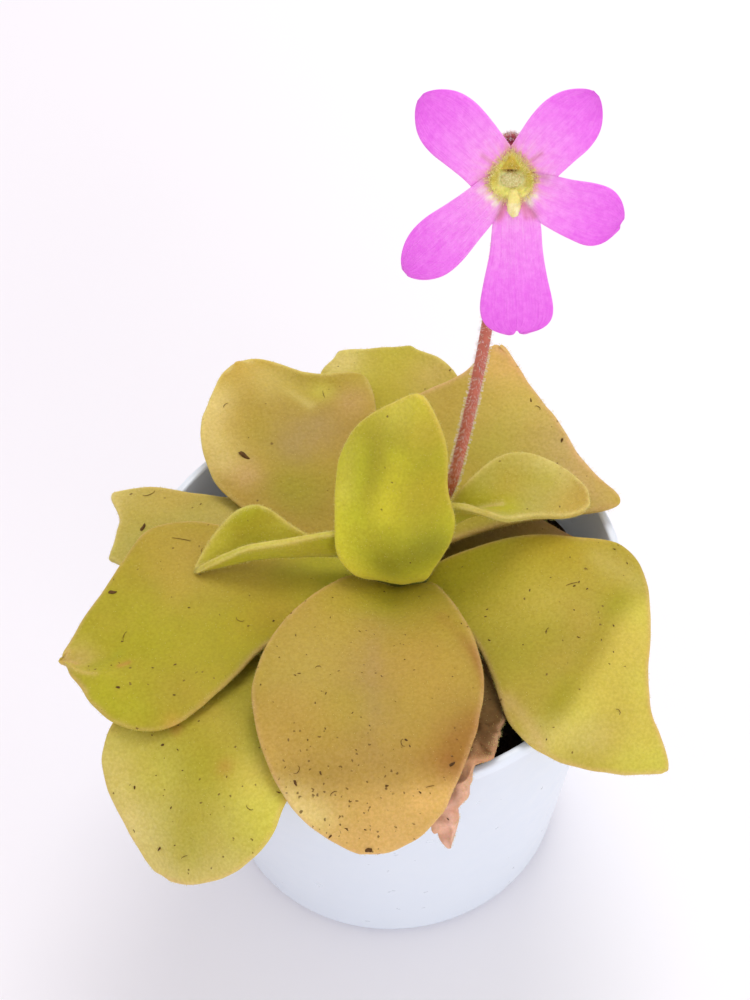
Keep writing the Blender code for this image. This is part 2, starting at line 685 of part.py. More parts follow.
def main():
    clear_scene()
    parts = new_collection("potted_butterwort")
    cutters = new_collection("cutters")
    green = new_material("leaf_green")
    ochre = new_material("leaf_ochre")
    build_pot(parts, cutters, new_material("white_plastic"))
    build_soil(parts, cutters, new_material("peat"))
    build_crown(parts, new_material("crown"))
    for name, leaf in LEAVES.items():
        build_leaf(name, leaf, parts, ochre if leaf.ochre else green)
    build_corolla(parts, new_material("petal"))
    build_pistil(parts, new_material("stigma"))
    build_stamens(parts, new_material("stamen"))
    build_calyx(parts, new_material("calyx"))
    build_scape(parts, new_material("scape"))


main()
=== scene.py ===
"""Looks of a potted butterwort: a rosette of fleshy leaves and one violet flower in a small white pot."""

import math

import bmesh
import bpy
import numpy as np
from mathutils import Matrix, Vector, noise


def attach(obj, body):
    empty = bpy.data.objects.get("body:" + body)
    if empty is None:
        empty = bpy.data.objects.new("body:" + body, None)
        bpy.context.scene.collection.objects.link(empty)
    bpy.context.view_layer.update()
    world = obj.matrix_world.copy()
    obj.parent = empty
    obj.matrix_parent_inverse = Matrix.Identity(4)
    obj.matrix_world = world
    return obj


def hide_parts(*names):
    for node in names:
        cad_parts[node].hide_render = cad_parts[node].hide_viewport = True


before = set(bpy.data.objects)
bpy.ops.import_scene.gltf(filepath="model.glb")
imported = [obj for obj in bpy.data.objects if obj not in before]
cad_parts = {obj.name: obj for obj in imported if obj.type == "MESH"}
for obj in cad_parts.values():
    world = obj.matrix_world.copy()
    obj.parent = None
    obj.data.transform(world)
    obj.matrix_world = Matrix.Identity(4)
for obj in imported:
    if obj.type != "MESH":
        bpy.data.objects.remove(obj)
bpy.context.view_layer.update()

# Camera: above the front of the pot, a little rolled, looking down on the middle of the rosette through a
# short telephoto lens.

MM = 0.001
CAMERA_RISE = math.radians(52.25)
CAMERA_DISTANCE = 304.0
CAMERA_AIM_HEIGHT = 60.0
CAMERA_TILT = math.radians(-2.28)
CAMERA_PAN = math.radians(0.14)
CAMERA_ROLL = math.radians(-4.26)
CAMERA_LENS = 72.0
CAMERA_SENSOR = 36.0
CAMERA_NEAREST = 10.0


def linked(name, data):
    """A new object of the given data, in the scene."""
    item = bpy.data.objects.new(name, data)
    bpy.context.scene.collection.objects.link(item)
    return item


def posed(place, turn, tip, roll):
    """The matrix of a thing at a place in mm, rolled about its own Z, then tipped about X and turned about Z."""
    return (
        Matrix.Translation(Vector(place) * MM) @ Matrix.Rotation(turn, 4, "Z") @ Matrix.Rotation(tip, 4, "X")
        @ Matrix.Rotation(roll, 4, "Z")
    )


camera_data = bpy.data.cameras.new("camera")
camera_data.lens = CAMERA_LENS
camera_data.sensor_width = CAMERA_SENSOR
camera_data.clip_start = CAMERA_NEAREST * MM
camera = linked("camera", camera_data)
back, up = CAMERA_DISTANCE * math.cos(CAMERA_RISE), CAMERA_DISTANCE * math.sin(CAMERA_RISE)
tip = math.radians(90) - CAMERA_RISE - CAMERA_TILT
camera.matrix_world = posed((0, -back, CAMERA_AIM_HEIGHT + up), -CAMERA_PAN, tip, CAMERA_ROLL)
bpy.context.scene.camera = camera

# Studio: a sweep of plain white matt paper under a bright even sky, with one broad soft lamp above and behind
# the pot and a weaker one low at the front right.

FLOOR_SIZE = 4.0
FLOOR_GAP = 0.2
SKY_STRENGTH = 0.77
LAMP_SIZE = 0.40


class Reading:
    """One output of a shader node. Arithmetic on it adds Math nodes to its finish."""

    def __init__(self, finish, socket):
        self.finish = finish
        self.socket = socket

    def math(self, operation, first, second):
        return self.finish.node("Math", {"operation": operation}, {0: first, 1: second})

    def __add__(self, other):
        return self.math("ADD", self, other)

    def __radd__(self, other):
        return self.math("ADD", other, self)

    def __sub__(self, other):
        return self.math("SUBTRACT", self, other)

    def __rsub__(self, other):
        return self.math("SUBTRACT", other, self)

    def __mul__(self, other):
        return self.math("MULTIPLY", self, other)

    def __rmul__(self, other):
        return self.math("MULTIPLY", other, self)

    def __lt__(self, other):
        return self.math("LESS_THAN", self, other)

    def __gt__(self, other):
        return self.math("GREATER_THAN", self, other)


class Finish:
    """A material on one Principled shader, whose fixed values are set on the shader's own sockets."""

    def __init__(self, name, soft=(), **fixed):
        """Soft gives the share of light that sinks in, its depth in metres and how far each colour spreads."""
        fixed.update(zip(("Subsurface_Weight", "Subsurface_Scale", "Subsurface_Radius"), soft))
        self.material = bpy.data.materials.new(name)
        self.material.use_nodes = True
        self.tree = self.material.node_tree
        self.shader = self.tree.nodes["Principled BSDF"]
        for socket, value in fixed.items():
            self.shader.inputs[socket.replace("_", " ")].default_value = value

    def node(self, kind, settings=None, sockets=None, output=0):
        """Adds a node of a type, makes its settings, and then gives its sockets their values or links."""
        node = self.tree.nodes.new("ShaderNode" + kind)
        for name, value in (settings or {}).items():
            setattr(node, name, value)
        for name, value in (sockets or {}).items():
            if isinstance(value, Reading):
                self.tree.links.new(value.socket, node.inputs[name])
            else:
                node.inputs[name].default_value = value
        return Reading(self, node.outputs[output])

    def vary(self, socket, reading):
        self.tree.links.new(reading.socket, self.shader.inputs[socket])

    def place(self):
        return self.node("TexCoord", output=3)

    def grain(self, scale, detail=2.0, roughness=0.5):
        sockets = {"Vector": self.place(), "Scale": scale, "Detail": detail, "Roughness": roughness}
        return self.node("TexNoise", None, sockets)

    def ramp(self, reading, low, high):
        """0 where the reading is at low, 1 at high, and a smooth step between."""
        sockets = {"Value": reading, "From Min": low, "From Max": high}
        return self.node("MapRange", {"interpolation_type": "SMOOTHSTEP"}, sockets)

    def mix(self, factor, first, second, blend="MIX"):
        """Mixes two colours, each of them a reading or its red, green and blue."""
        first, second = (value if isinstance(value, Reading) else (*value, 1) for value in (first, second))
        settings = {"data_type": "RGBA", "blend_type": blend}
        return self.node("Mix", settings, {0: factor, 6: first, 7: second}, output=2)

    def paint(self, factor, first, second, blend="MIX"):
        self.vary("Base Color", self.mix(factor, first, second, blend))

    def attribute(self, name, output=2):
        return self.node("Attribute", {"attribute_name": name}, output=output)

    def emboss(self, height, distance):
        self.vary("Normal", self.node("Bump", None, {"Height": height, "Distance": distance}))


paper = Finish("paper", Roughness=0.9, Specular_IOR_Level=0.05)
paper_place = paper.node("SeparateXYZ", None, {0: paper.place()})
# The paper is painted darker and a little lavender towards the left, along a soft wavy border: painted shade where
# the light falls off on that side.
paper_painted_shade = paper.ramp(paper_place + paper.grain(3.0) * 0.2 - 0.1, -0.35, 0.15)
paper.paint(paper_painted_shade, (0.86, 0.80, 0.875), (0.95, 0.935, 0.96))
bpy.ops.mesh.primitive_plane_add(size=FLOOR_SIZE, location=(0, 0, -FLOOR_GAP * MM))
floor = bpy.context.object
floor.name = "floor"
floor.data.materials.append(paper.material)

world = bpy.data.worlds.new("sky")
world.use_nodes = True
sky = world.node_tree.nodes["Background"].inputs
sky["Color"].default_value = (1.0, 0.985, 1.0, 1)
sky["Strength"].default_value = SKY_STRENGTH
bpy.context.scene.world = world
bpy.context.scene.view_settings.view_transform = "Standard"


def soft_lamp(name, place, aim, power, colour):
    """A round lamp at a place, in metres, turned towards its aim."""
    data = bpy.data.lights.new(name, "AREA")
    data.shape = "DISK"
    data.size = LAMP_SIZE
    data.energy = power
    data.color = colour
    lamp = linked(name, data)
    lamp.location = place
    lamp.rotation_mode = "QUATERNION"
    lamp.rotation_quaternion = (Vector(aim) - Vector(place)).to_track_quat("-Z", "Y")


soft_lamp("lamp_top", (0.10, 0.35, 0.75), (0, 0, 0.05), 2.2, (1.0, 0.985, 0.96))
soft_lamp("lamp_front", (0.25, -0.75, 0.30), (0, 0, 0.08), 1.35, (1.0, 0.98, 0.97))

# Pot: one thin-walled injection moulding in white plastic with a slight blue cast. It has a small thickened
# lip, a tapered wall, a rounded foot and six drainage holes. It is spun from its profile and drilled.

RIM_RADIUS = 37.5
WALL_TOP_RADIUS = 37.1
BASE_RADIUS = 27.6
POT_HEIGHT = 60.0
WALL = 1.0
LIP_HEIGHT = 1.8
LIP = 1.4
LIP_INNER_ROUND = 0.45
LIP_OUTER_ROUND = 0.5
LIP_FOOT_ROUND = 0.2
LIP_FILLET = 0.1
POT_FLOOR = 1.4
FOOT_ROUND = 2.4
FOOT_WIDTH = 4.2
BASE_SLOPE = 0.6
BASE_RISE = 0.4
POT_STEPS = 144
DRAIN_HOLES = 6
DRAIN_RADIUS = 2.6
DRAIN_CIRCLE = 17.0
DRAIN_DEPTH = 6.0
DRAIN_STEPS = 32
SHARP = math.radians(35)
WELD = 0.01


def wall_radius(height):
    return BASE_RADIUS + (WALL_TOP_RADIUS - BASE_RADIUS) * height / POT_HEIGHT


def only(piece):
    """Selects one piece and makes it the active one."""
    bpy.ops.object.select_all(action="DESELECT")
    piece.select_set(True)
    bpy.context.view_layer.objects.active = piece


def open_mesh(piece):
    """Opens a piece for editing, with its whole mesh selected."""
    only(piece)
    bpy.ops.object.mode_set(mode="EDIT")
    bpy.ops.mesh.select_all(action="SELECT")


def modified(piece, kind, **settings):
    """Adds a modifier with its settings and applies it."""
    only(piece)
    modifier = piece.modifiers.new(kind, kind)
    for name, value in settings.items():
        setattr(modifier, name, value)
    bpy.ops.object.modifier_apply(modifier=kind)


def fitted(piece, slot, *nodes):
    """Rides a piece on the one body, and hides the CAD nodes that it stands for. The slot is not used."""
    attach(piece, "root")
    if nodes:
        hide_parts(*nodes)


def fixed_order(mesh):
    """Sorts a mesh's faces, because spinning and extruding leave them in a different order each time."""
    points = [tuple(vertex.co) for vertex in mesh.vertices]
    faces = [tuple(face.vertices) for face in mesh.polygons]
    faces = sorted(face[face.index(min(face)):] + face[:face.index(min(face))] for face in faces)
    mesh.clear_geometry()
    mesh.from_pydata(points, [], faces)


def spun(name, profile, steps, finish):
    """A closed shell spun about Z from a profile in mm that starts and ends on the axis."""
    mesh = bpy.data.meshes.new(name)
    mesh.from_pydata([(r * MM, 0, z * MM) for r, z in profile], [(i, i + 1) for i in range(len(profile) - 1)], [])
    piece = linked(name, mesh)
    open_mesh(piece)
    bpy.ops.mesh.spin(steps=steps, angle=2 * math.pi, center=(0, 0, 0), axis=(0, 0, 1))
    bpy.ops.mesh.select_all(action="SELECT")
    bpy.ops.mesh.remove_doubles(threshold=WELD * MM)
    bpy.ops.mesh.normals_make_consistent(inside=False)
    bpy.ops.object.mode_set(mode="OBJECT")
    fixed_order(mesh)
    mesh.materials.append(finish.material)
    return piece


def rounded(corner, radius, start, end, count):
    """The arc that rounds a corner of a profile, from one angle to another in degrees."""
    middle = math.radians((start + end) / 2)
    x = corner[0] - math.copysign(radius, math.cos(middle))
    z = corner[1] - math.copysign(radius, math.sin(middle))
    return [(x + radius * math.cos(a), z + radius * math.sin(a)) for a in np.radians(np.linspace(start, end, count))]


plastic = Finish(
    "white_plastic", Roughness=0.34, Specular_IOR_Level=0.5, Coat_Weight=0.15, Coat_Roughness=0.25,
    soft=(0.25, 0.004, (1.0, 1.0, 1.0)),
)
cloud = plastic.grain(60.0, 3.0)
plastic.paint(cloud, (0.765, 0.835, 0.955), (0.805, 0.87, 0.97))
plastic.vary("Roughness", plastic.ramp(plastic.grain(350.0, 3.0), 0.25, 0.8) * 0.16 + 0.27)
plastic.emboss(plastic.grain(160.0, 2.0), 0.00004)

lip_foot = POT_HEIGHT - LIP_HEIGHT
pot = spun("pot_shell", [
    (0, POT_FLOOR),
    *rounded((wall_radius(POT_FLOOR) - WALL, POT_FLOOR), FOOT_ROUND, -90, 0, 7),
    (wall_radius(lip_foot) - WALL, lip_foot),
    *rounded((RIM_RADIUS - LIP, POT_HEIGHT), LIP_INNER_ROUND, 180, 90, 6),
    *rounded((RIM_RADIUS, POT_HEIGHT), LIP_OUTER_ROUND, 90, 0, 6),
    *rounded((RIM_RADIUS, lip_foot), LIP_FOOT_ROUND, 0, -90, 4),
    *rounded((wall_radius(lip_foot), lip_foot), LIP_FILLET, 90, 180, 3),
    *rounded((wall_radius(FOOT_ROUND), 0), FOOT_ROUND, 0, -90, 9),
    (BASE_RADIUS - FOOT_WIDTH, 0), (BASE_RADIUS - FOOT_WIDTH - BASE_SLOPE, BASE_RISE), (3.0, BASE_RISE),
    (0, BASE_RISE),
], POT_STEPS, plastic)
for hole in range(DRAIN_HOLES):
    angle = 2 * math.pi * hole / DRAIN_HOLES
    centre = Vector((math.cos(angle), math.sin(angle), 0)) * DRAIN_CIRCLE * MM
    bpy.ops.mesh.primitive_cylinder_add(
        vertices=DRAIN_STEPS, radius=DRAIN_RADIUS * MM, depth=DRAIN_DEPTH * MM, location=centre
    )
    drill = bpy.context.object
    modified(pot, "BOOLEAN", object=drill)
    bpy.data.objects.remove(drill)
bpy.ops.object.shade_smooth_by_angle(angle=SHARP)
fitted(pot, "white_plastic", "pot")

# Soil: damp, nearly black peat that fills the pot, with loose crumbs on it. Its body is a copy of the plain
# solid, roughened on top, and its crumbs are one lump copied many times.

SOIL_TOP = 48.0
SOIL_EDGE = 33.5
SOIL_CUTS = 3
SOIL_WAVES = ((0.9, 0.35), (0.5, 1.1))
LUMP_DEPTH, LUMP_PITCH = 0.55, 1.3
CRUMBS = 900
CRUMB_REACH = 33.0
CRUMB_LEVEL = 50.4
CRUMB_SHAPE = (1.3, 0.9, 0.7)
MOUND = 1.8
MOUND_SPREAD = 14.0
CROWN_AXIS = np.array([3.5, 3.0])
PAIRED = math.radians(60)

rng = np.random.default_rng(7)
noise.seed_set(5)


def finished_in(piece, finish):
    piece.data.materials.clear()
    piece.data.materials.append(finish.material)


def smooth_copy(node, name, levels, finish):
    """A copy of a CAD node's mesh, welded, with its triangles paired into four-sided faces and subdivided."""
    piece = linked(name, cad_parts[node].data.copy())
    finished_in(piece, finish)
    open_mesh(piece)
    bpy.ops.mesh.remove_doubles(threshold=WELD * MM)
    bpy.ops.mesh.tris_convert_to_quads(face_threshold=PAIRED, shape_threshold=PAIRED)
    bpy.ops.object.mode_set(mode="OBJECT")
    bpy.ops.mesh.customdata_custom_splitnormals_clear()
    if levels:
        modified(piece, "SUBSURF", levels=levels, render_levels=levels)
    bpy.ops.object.shade_smooth()
    return piece


def points_of(mesh):
    """The mesh's vertices in mm."""
    flat = np.empty(len(mesh.vertices) * 3, np.float32)
    mesh.vertices.foreach_get("co", flat)
    return flat.reshape(-1, 3).astype(float) / MM


def move_points(mesh, points):
    mesh.vertices.foreach_set("co", (points * MM).astype(np.float32).ravel())
    mesh.update()


def planted(name, model, places, directions, sizes, finish):
    """Copies a small model, whose own axis is Z, to each place in its direction and size, as one mesh."""
    points, faces = points_of(model.data), [tuple(face.vertices) for face in model.data.polygons]
    along = directions / np.linalg.norm(directions, axis=1, keepdims=True)
    guide = np.where(np.abs(along[:, 2:]) < 0.9, np.array([[0, 0, 1.0]]), np.array([[1.0, 0, 0]]))
    side = np.cross(guide, along)
    side /= np.linalg.norm(side, axis=1, keepdims=True)
    third = np.cross(along, side)
    turn = rng.uniform(0, 2 * math.pi, len(places))[:, None]
    side, third = side * np.cos(turn) + third * np.sin(turn), third * np.cos(turn) - side * np.sin(turn)
    moved = (
        places[:, None] + points[None, :, :1] * sizes[:, None, :1] * side[:, None]
        + points[None, :, 1:2] * sizes[:, None, 1:2] * third[:, None]
        + points[None, :, 2:] * sizes[:, None, 2:] * along[:, None]
    )
    mesh = bpy.data.meshes.new(name)
    count = len(points)
    mesh.from_pydata(
        (moved.reshape(-1, 3) * MM).tolist(), [],
        [tuple(v + i * count for v in face) for i in range(len(places)) for face in faces],
    )
    mesh.materials.append(finish.material)
    piece = linked(name, mesh)
    only(piece)
    bpy.ops.object.shade_smooth()
    return piece


def ring_places(reach, bearing, height):
    """Places at each reach and bearing from the axis."""
    return np.stack([reach * np.cos(bearing), reach * np.sin(bearing), np.full(len(reach), height)], axis=1)


peat = Finish("peat", Roughness=0.92, Specular_IOR_Level=0.25)
clod = peat.grain(420.0, 6.0, 0.65)
peat.paint(peat.ramp(clod, 0.35, 0.75), (0.007, 0.0045, 0.003), (0.065, 0.036, 0.019))
peat.emboss(clod, 0.0009)

soil = smooth_copy("soil", "soil_body", 0, peat)
open_mesh(soil)
bpy.ops.mesh.subdivide(number_cuts=SOIL_CUTS)
bpy.ops.object.mode_set(mode="OBJECT")
bed_points = points_of(soil.data)
for i, point in enumerate(bed_points):
    if point[2] > SOIL_TOP and math.hypot(point[0], point[1]) < SOIL_EDGE:
        bed_points[i, 2] += sum(height * noise.noise(Vector(point) * pitch) for height, pitch in SOIL_WAVES)
move_points(soil.data, bed_points)
fitted(soil, "peat", "soil")

bpy.ops.mesh.primitive_ico_sphere_add(subdivisions=2, radius=MM)
lump = bpy.context.object
lump_points = points_of(lump.data)
for i, point in enumerate(lump_points):
    lump_points[i] *= 1 + LUMP_DEPTH * noise.noise(Vector(point) * LUMP_PITCH + Vector((3, 1, 5)))
move_points(lump.data, lump_points)
crumb_reach = CRUMB_REACH * np.sqrt(rng.uniform(0.02, 1, CRUMBS))
crumb_places = ring_places(crumb_reach, rng.uniform(0, 2 * math.pi, CRUMBS), CRUMB_LEVEL)
from_crown = ((crumb_places[:, :2] - CROWN_AXIS) ** 2).sum(axis=1)
crumb_places[:, 2] += MOUND * np.exp(-from_crown / MOUND_SPREAD**2)
crumb_size = rng.uniform(0.25, 1.0, (CRUMBS, 1)) ** 1.5 * np.array([CRUMB_SHAPE])
crumbs = planted("peat_crumbs", lump, crumb_places, rng.normal(0, 1, (CRUMBS, 3)), crumb_size, peat)
fitted(crumbs, "peat")

# Crown: the short green stem that the leaves and the flower stalk grow from, mostly hidden among them. It
# stands in the peat, and is a smooth copy of its plain solid.

stem = Finish("crown_stem", Roughness=0.5, soft=(0.3, 0.001))
stem.paint(stem.grain(500.0), (0.16, 0.17, 0.015), (0.34, 0.33, 0.04))
crown = smooth_copy("crown", "crown_stem", 2, stem)
fitted(crown, "crown", "crown")

# Leaves: thin, brittle, fleshy blades with a buttery, finely grained skin, golden green to ochre, flushed
# peach and pink along the margins. Each is a smooth copy of its plain blade, with its flush painted on it
# from a few soft spots, on some also painted shade in folds, bends and crowded bases and painted highlights
# where they face the light, and a dust of peat where it touched the soil.

YOUNG = (0.58, 0.52, 0.035)
SPRING = (0.45, 0.44, 0.022)
PALE = (0.66, 0.59, 0.10)
GREEN = (0.42, 0.36, 0.035)
LIME = (0.38, 0.33, 0.016)
SHADE = (0.32, 0.30, 0.022)
OLIVE = (0.42, 0.33, 0.045)
STRAW = (0.47, 0.40, 0.095)
OCHRE = (0.44, 0.29, 0.055)
GOLD = (0.42, 0.27, 0.010)
AMBER = (0.58, 0.37, 0.065)
APRICOT = (0.84, 0.53, 0.18)
PEACH = (0.74, 0.48, 0.17)
CREAM = (0.80, 0.66, 0.27)
PINK = (0.76, 0.45, 0.28)
MAUVE = (0.42, 0.27, 0.12)
UMBER = (0.36, 0.23, 0.05)
RUST_SHADE = (0.34, 0.14, 0.035)
BROWN = (0.15, 0.08, 0.02)
SCAR = (0.50, 0.18, 0.06)
FADED = (0.22, 0.13, 0.045)
RIM_ANGLE = math.radians(50)
RIM_STEP = 0.3
RIM_SHARE = 0.6
ROOT_POINTS = 40
ROOT_SPREAD = 11.0
TIP_START = 0.72
SWAY = 0.7
RIPPLE = 0.22
CLEAN = 0.01

skin = Finish(
    "leaf_skin", Specular_IOR_Level=0.18, Specular_Tint=(1.0, 0.9, 0.5, 1), soft=(0.35, 0.0018, (1.0, 0.8, 0.15)),
)
mottle = skin.grain(110.0, 4.0, 0.6)
broad = skin.grain(42.0, 2.0, 0.5)
pores = skin.grain(2200.0, 2.0, 0.6)
# The tint attribute holds each leaf's own colours, and also the shade and highlights painted on it.
flush_and_painted_light = skin.mix(skin.ramp(broad, 0.45, 0.68) * 0.30, skin.attribute("tint", 0), (0.46, 0.43, 0.025))
flush_and_painted_light = skin.mix((1 - skin.ramp(broad, 0.32, 0.52)) * 0.25, flush_and_painted_light, (0.62, 0.37, 0.10))
flush_and_painted_light = skin.mix(skin.ramp(mottle, 0.4, 0.7) * 0.22, flush_and_painted_light, (0.52, 0.36, 0.05))
grainy = skin.mix(skin.ramp(pores, 0.25, 0.75), (0.92, 0.91, 0.80), (1.07, 1.08, 1.12))
flush_and_painted_light = skin.mix(1.0, flush_and_painted_light, grainy, "MULTIPLY")
bent = skin.node("VectorMath", {"operation": "MULTIPLY_ADD"}, {
    0: skin.node("TexNoise", None, {"Vector": skin.place(), "Scale": 1800.0, "Detail": 1.0}, output=1),
    1: (0.0007, 0.0007, 0.0007), 2: skin.place(),
})
cells = {"Vector": bent, "Scale": 1150.0, "Randomness": 1.0}
speck_reach = skin.node("TexVoronoi", None, cells)
speck_draw = skin.node("SeparateColor", None, {0: skin.node("TexVoronoi", None, cells, output=1)})
dust = (speck_draw < skin.attribute("dust")) * (1 - skin.ramp(speck_reach, 0.15, 0.27))
skin.paint(dust * 0.8, flush_and_painted_light, (0.14, 0.07, 0.02))
skin.vary("Roughness", skin.ramp(pores, 0.2, 0.8) * 0.22 + 0.40)
glands = skin.node("TexVoronoi", {"feature": "SMOOTH_F1"}, {"Vector": skin.place(), "Scale": 1500.0})
skin.emboss(skin.ramp(glands, 0.1, 0.6) * 0.4 + mottle * 2.0, 0.0001)

dry_skin = Finish("dry_leaf", Specular_IOR_Level=0.12, soft=(0.15, 0.001))
dry_spots = dry_skin.grain(380.0, 5.0, 0.7)
dry_wrinkle = dry_skin.grain(260.0, 3.0, 0.6)
dry_tone = dry_skin.mix(dry_skin.ramp(dry_spots, 0.35, 0.7), (0.84, 0.78, 0.74), (1.12, 1.10, 1.08))
dry_skin.paint(1.0, dry_skin.attribute("tint", 0), dry_tone, "MULTIPLY")
dry_skin.vary("Roughness", dry_skin.ramp(dry_spots, 0.2, 0.8) * 0.2 + 0.7)
dry_skin.emboss(dry_wrinkle + dry_spots * 0.4, 0.0006)


def rim_distance(node, points):
    """How far, in mm, each point lies from the rim of a blade's CAD solid."""
    work = bmesh.new()
    work.from_mesh(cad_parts[node].data)
    bmesh.ops.remove_doubles(work, verts=work.verts[:], dist=WELD * MM)
    samples = []
    for edge in work.edges:
        if edge.is_manifold and edge.calc_face_angle() > RIM_ANGLE:
            start, end = (np.array(vert.co) / MM for vert in edge.verts)
            count = max(2, int(np.linalg.norm(end - start) / RIM_STEP))
            samples.append(start + (end - start) * np.linspace(0, 1, count)[:, None])
    work.free()
    samples = np.concatenate(samples)
    return np.array([math.sqrt(((samples - point) ** 2).sum(axis=1).min()) for point in points])


def patch_weight(points, path, radius):
    """Near 1 at a place, or along a path of places, fading over a radius."""
    path = np.atleast_2d(path).astype(float)
    nearest = ((points - path[0]) ** 2).sum(axis=1)
    for start, end in zip(path[:-1], path[1:], strict=True):
        span = end - start
        share = np.clip((points - start) @ span / (span @ span), 0, 1)
        nearest = np.minimum(nearest, ((points - start - share[:, None] * span) ** 2).sum(axis=1))
    return np.exp(-nearest / radius**2)


def set_attribute(mesh, name, values):
    """Keeps a number or a colour for each vertex."""
    coloured = values.ndim == 2
    layer = mesh.attributes.new(name, "FLOAT_COLOR" if coloured else "FLOAT", "POINT")
    if coloured:
        values = np.concatenate([values, np.ones((len(values), 1))], axis=1)
    layer.data.foreach_set("color" if coloured else "value", values.astype(np.float32).ravel())


def tint_towards(colours, hue, weight):
    """Moves each colour towards a hue, by its weight."""
    colours += (np.array(hue) - colours) * weight[:, None]


def drift(points, pitch, offset=(0, 0, 0)):
    """A smooth random shift for each point. A higher pitch makes smaller waves."""
    return np.array([noise.noise_vector(Vector(point) * pitch + Vector(offset)) for point in points])


leaves = []


def dress_leaf(
    node, body, root, tip, rim, patches=(), dusty=(), rim_width=0.55, crumple=0.0, slot="leaf_green", finish=skin,
):
    """A finished leaf, with the colours of its blade, root, tip and rim. A patch is (place or path, radius,
    colour, strength), and a dusty place is (place, radius, amount), in mm."""
    leaf = smooth_copy(node, node + "_blade", 3, finish)
    points = points_of(leaf.data)
    plan = np.linalg.norm(points[:, :2] - CROWN_AXIS, axis=1)
    start = points[np.argsort(plan)[:ROOT_POINTS]].mean(axis=0)
    out = np.linalg.norm(points - start, axis=1)
    share = out / out.max()
    shift = drift(points, 0.09) * SWAY + drift(points, 0.28, (9, 4, 2)) * RIPPLE
    shift += drift(points, 0.5, (2, 7, 5)) * crumple
    move_points(leaf.data, points + shift * np.clip(share * 1.6 - 0.3, 0, 1)[:, None])
    colour = np.array([body] * len(points))
    tint_towards(colour, root, np.exp(-((out / ROOT_SPREAD) ** 2)))
    tint_towards(colour, tip, np.clip((share - TIP_START) / (1 - TIP_START), 0, 1) ** 1.5)
    for path, radius, hue, strength in patches:
        tint_towards(colour, hue, strength * patch_weight(points, path, radius))
    tint_towards(colour, rim, RIM_SHARE * np.exp(-((rim_distance(node, points) / rim_width) ** 2)))
    set_attribute(leaf.data, "tint", colour)
    specks = np.full(len(points), CLEAN)
    for place, radius, amount in dusty:
        specks += amount * patch_weight(points, place, radius)
    set_attribute(leaf.data, "dust", specks)
    fitted(leaf, slot, node)
    leaves.append(leaf)


# On the front leaf, the umber band and spot along its bend are painted shade, the rust marks at its right corner and
# along its curled right margin are painted shadow, and the peach, cream and apricot of its hanging lip are partly
# its flush and partly painted light where it faces the front.
dress_leaf("leaf_front", OCHRE, GREEN, PEACH, PINK, slot="leaf_ochre", patches=[
    ((-1, -10, 64), 7, SPRING, 0.35), ((-11, -19, 66), 7, STRAW, 0.35), ((8, -20, 66), 7, AMBER, 0.4),
    (((-1, -12, 65), (-2, -22, 66), (-3, -34, 66)), 3.6, MAUVE, 0.35),
    (((-1.5, -16, 65), (-2.5, -35, 66)), 1.1, MAUVE, 0.35), ((-6, -29, 66), 5, GREEN, 0.25),
    (((-14, -35.5, 64), (-9, -36.5, 64), (-2, -37, 64.5), (4, -36.5, 64.5)), 3.0, UMBER, 0.75),
    ((-3, -33, 66), 3.5, UMBER, 0.4), (((8, -36, 64.9), (12, -32, 65.7)), 4.0, RUST_SHADE, 1.0),
    (((9, -12, 64.5), (13, -19, 66), (14.5, -25, 65.8)), 0.9, RUST_SHADE, 0.75), ((-3, -43, 60), 6, PEACH, 0.8),
    (((-15, -38.5, 61), (-11, -40.5, 60)), 3.0, CREAM, 0.75), (((4, -40.5, 62), (7, -40.5, 62)), 2.6, APRICOT, 0.8),
], dusty=[((-6, -42, 60), 8, 0.34), ((-12, -38, 62), 5, 0.36), ((-2, -46, 52), 9, 0.30), ((-4, -34, 66), 9, 0.07)])
# The pale patch low on the front-left leaf's hanging right side is painted light where it faces the front.
dress_leaf("leaf_front_left", GREEN, OLIVE, CREAM, PINK, patches=[
    ((-24, -23, 61), 8, OLIVE, 0.5), (((-18, -35, 61), (-17, -41, 59)), 6, PALE, 1.0),
    (((-40, -29, 57.5), (-39.6, -34, 52.5), (-36, -40, 49)), 2.6, CREAM, 0.6), ((-23.5, -31.8, 61), 1.3, SCAR, 0.5),
    (((-26, -30, 61), (-30, -40, 53)), 4, LIME, 0.5), ((-34, -31, 58), 4, PALE, 0.35),
    ((-27, -22, 61), 3, AMBER, 0.3), ((-30.6, -25, 61.3), 1.0, SCAR, 0.45),
], dusty=[((-18, -38, 58), 8, 0.10), ((-34, -38, 52), 12, 0.05)])
# On the left leaf, the thin dark line near its tip is painted shade in a crease, the light green band in front of it
# a painted highlight on the lobe there, and the dark band near its base painted shadow under the young left leaf.
dress_leaf("leaf_left", (0.37, 0.30, 0.018), SPRING, GREEN, PINK, patches=[
    ((-31, 6, 63), 8, OCHRE, 0.55), ((-25, -1, 63), 7, OLIVE, 0.5), ((-30, -20, 63), 5, OCHRE, 0.45),
    (((-41.3, -18.7, 63), (-37, -22, 62)), 3.2, SPRING, 0.5), ((-44.5, -12.3, 62.5), 2.5, PINK, 0.4),
    (((-42.5, -14.2, 63.3), (-38.5, -12, 63.3)), 0.9, SHADE, 0.6),
    (((-38.6, -14.6, 63.6), (-37.2, -14.1, 63.6)), 0.45, SCAR, 0.9), ((-34, -7, 64), 5, SPRING, 0.35),
    (((-12, 2, 61), (-22, 3, 63)), 2.4, SHADE, 0.3), ((-31, -24.5, 61.5), 1.5, (0.76, 0.30, 0.10), 0.6),
    (((-14, -6, 62), (-20, -9, 63)), 4, GOLD, 0.35), ((-10, -3, 61), 4, YOUNG, 0.4),
], dusty=[((-34, -12, 63), 14, 0.03), ((-30, 4, 63), 8, 0.02)])
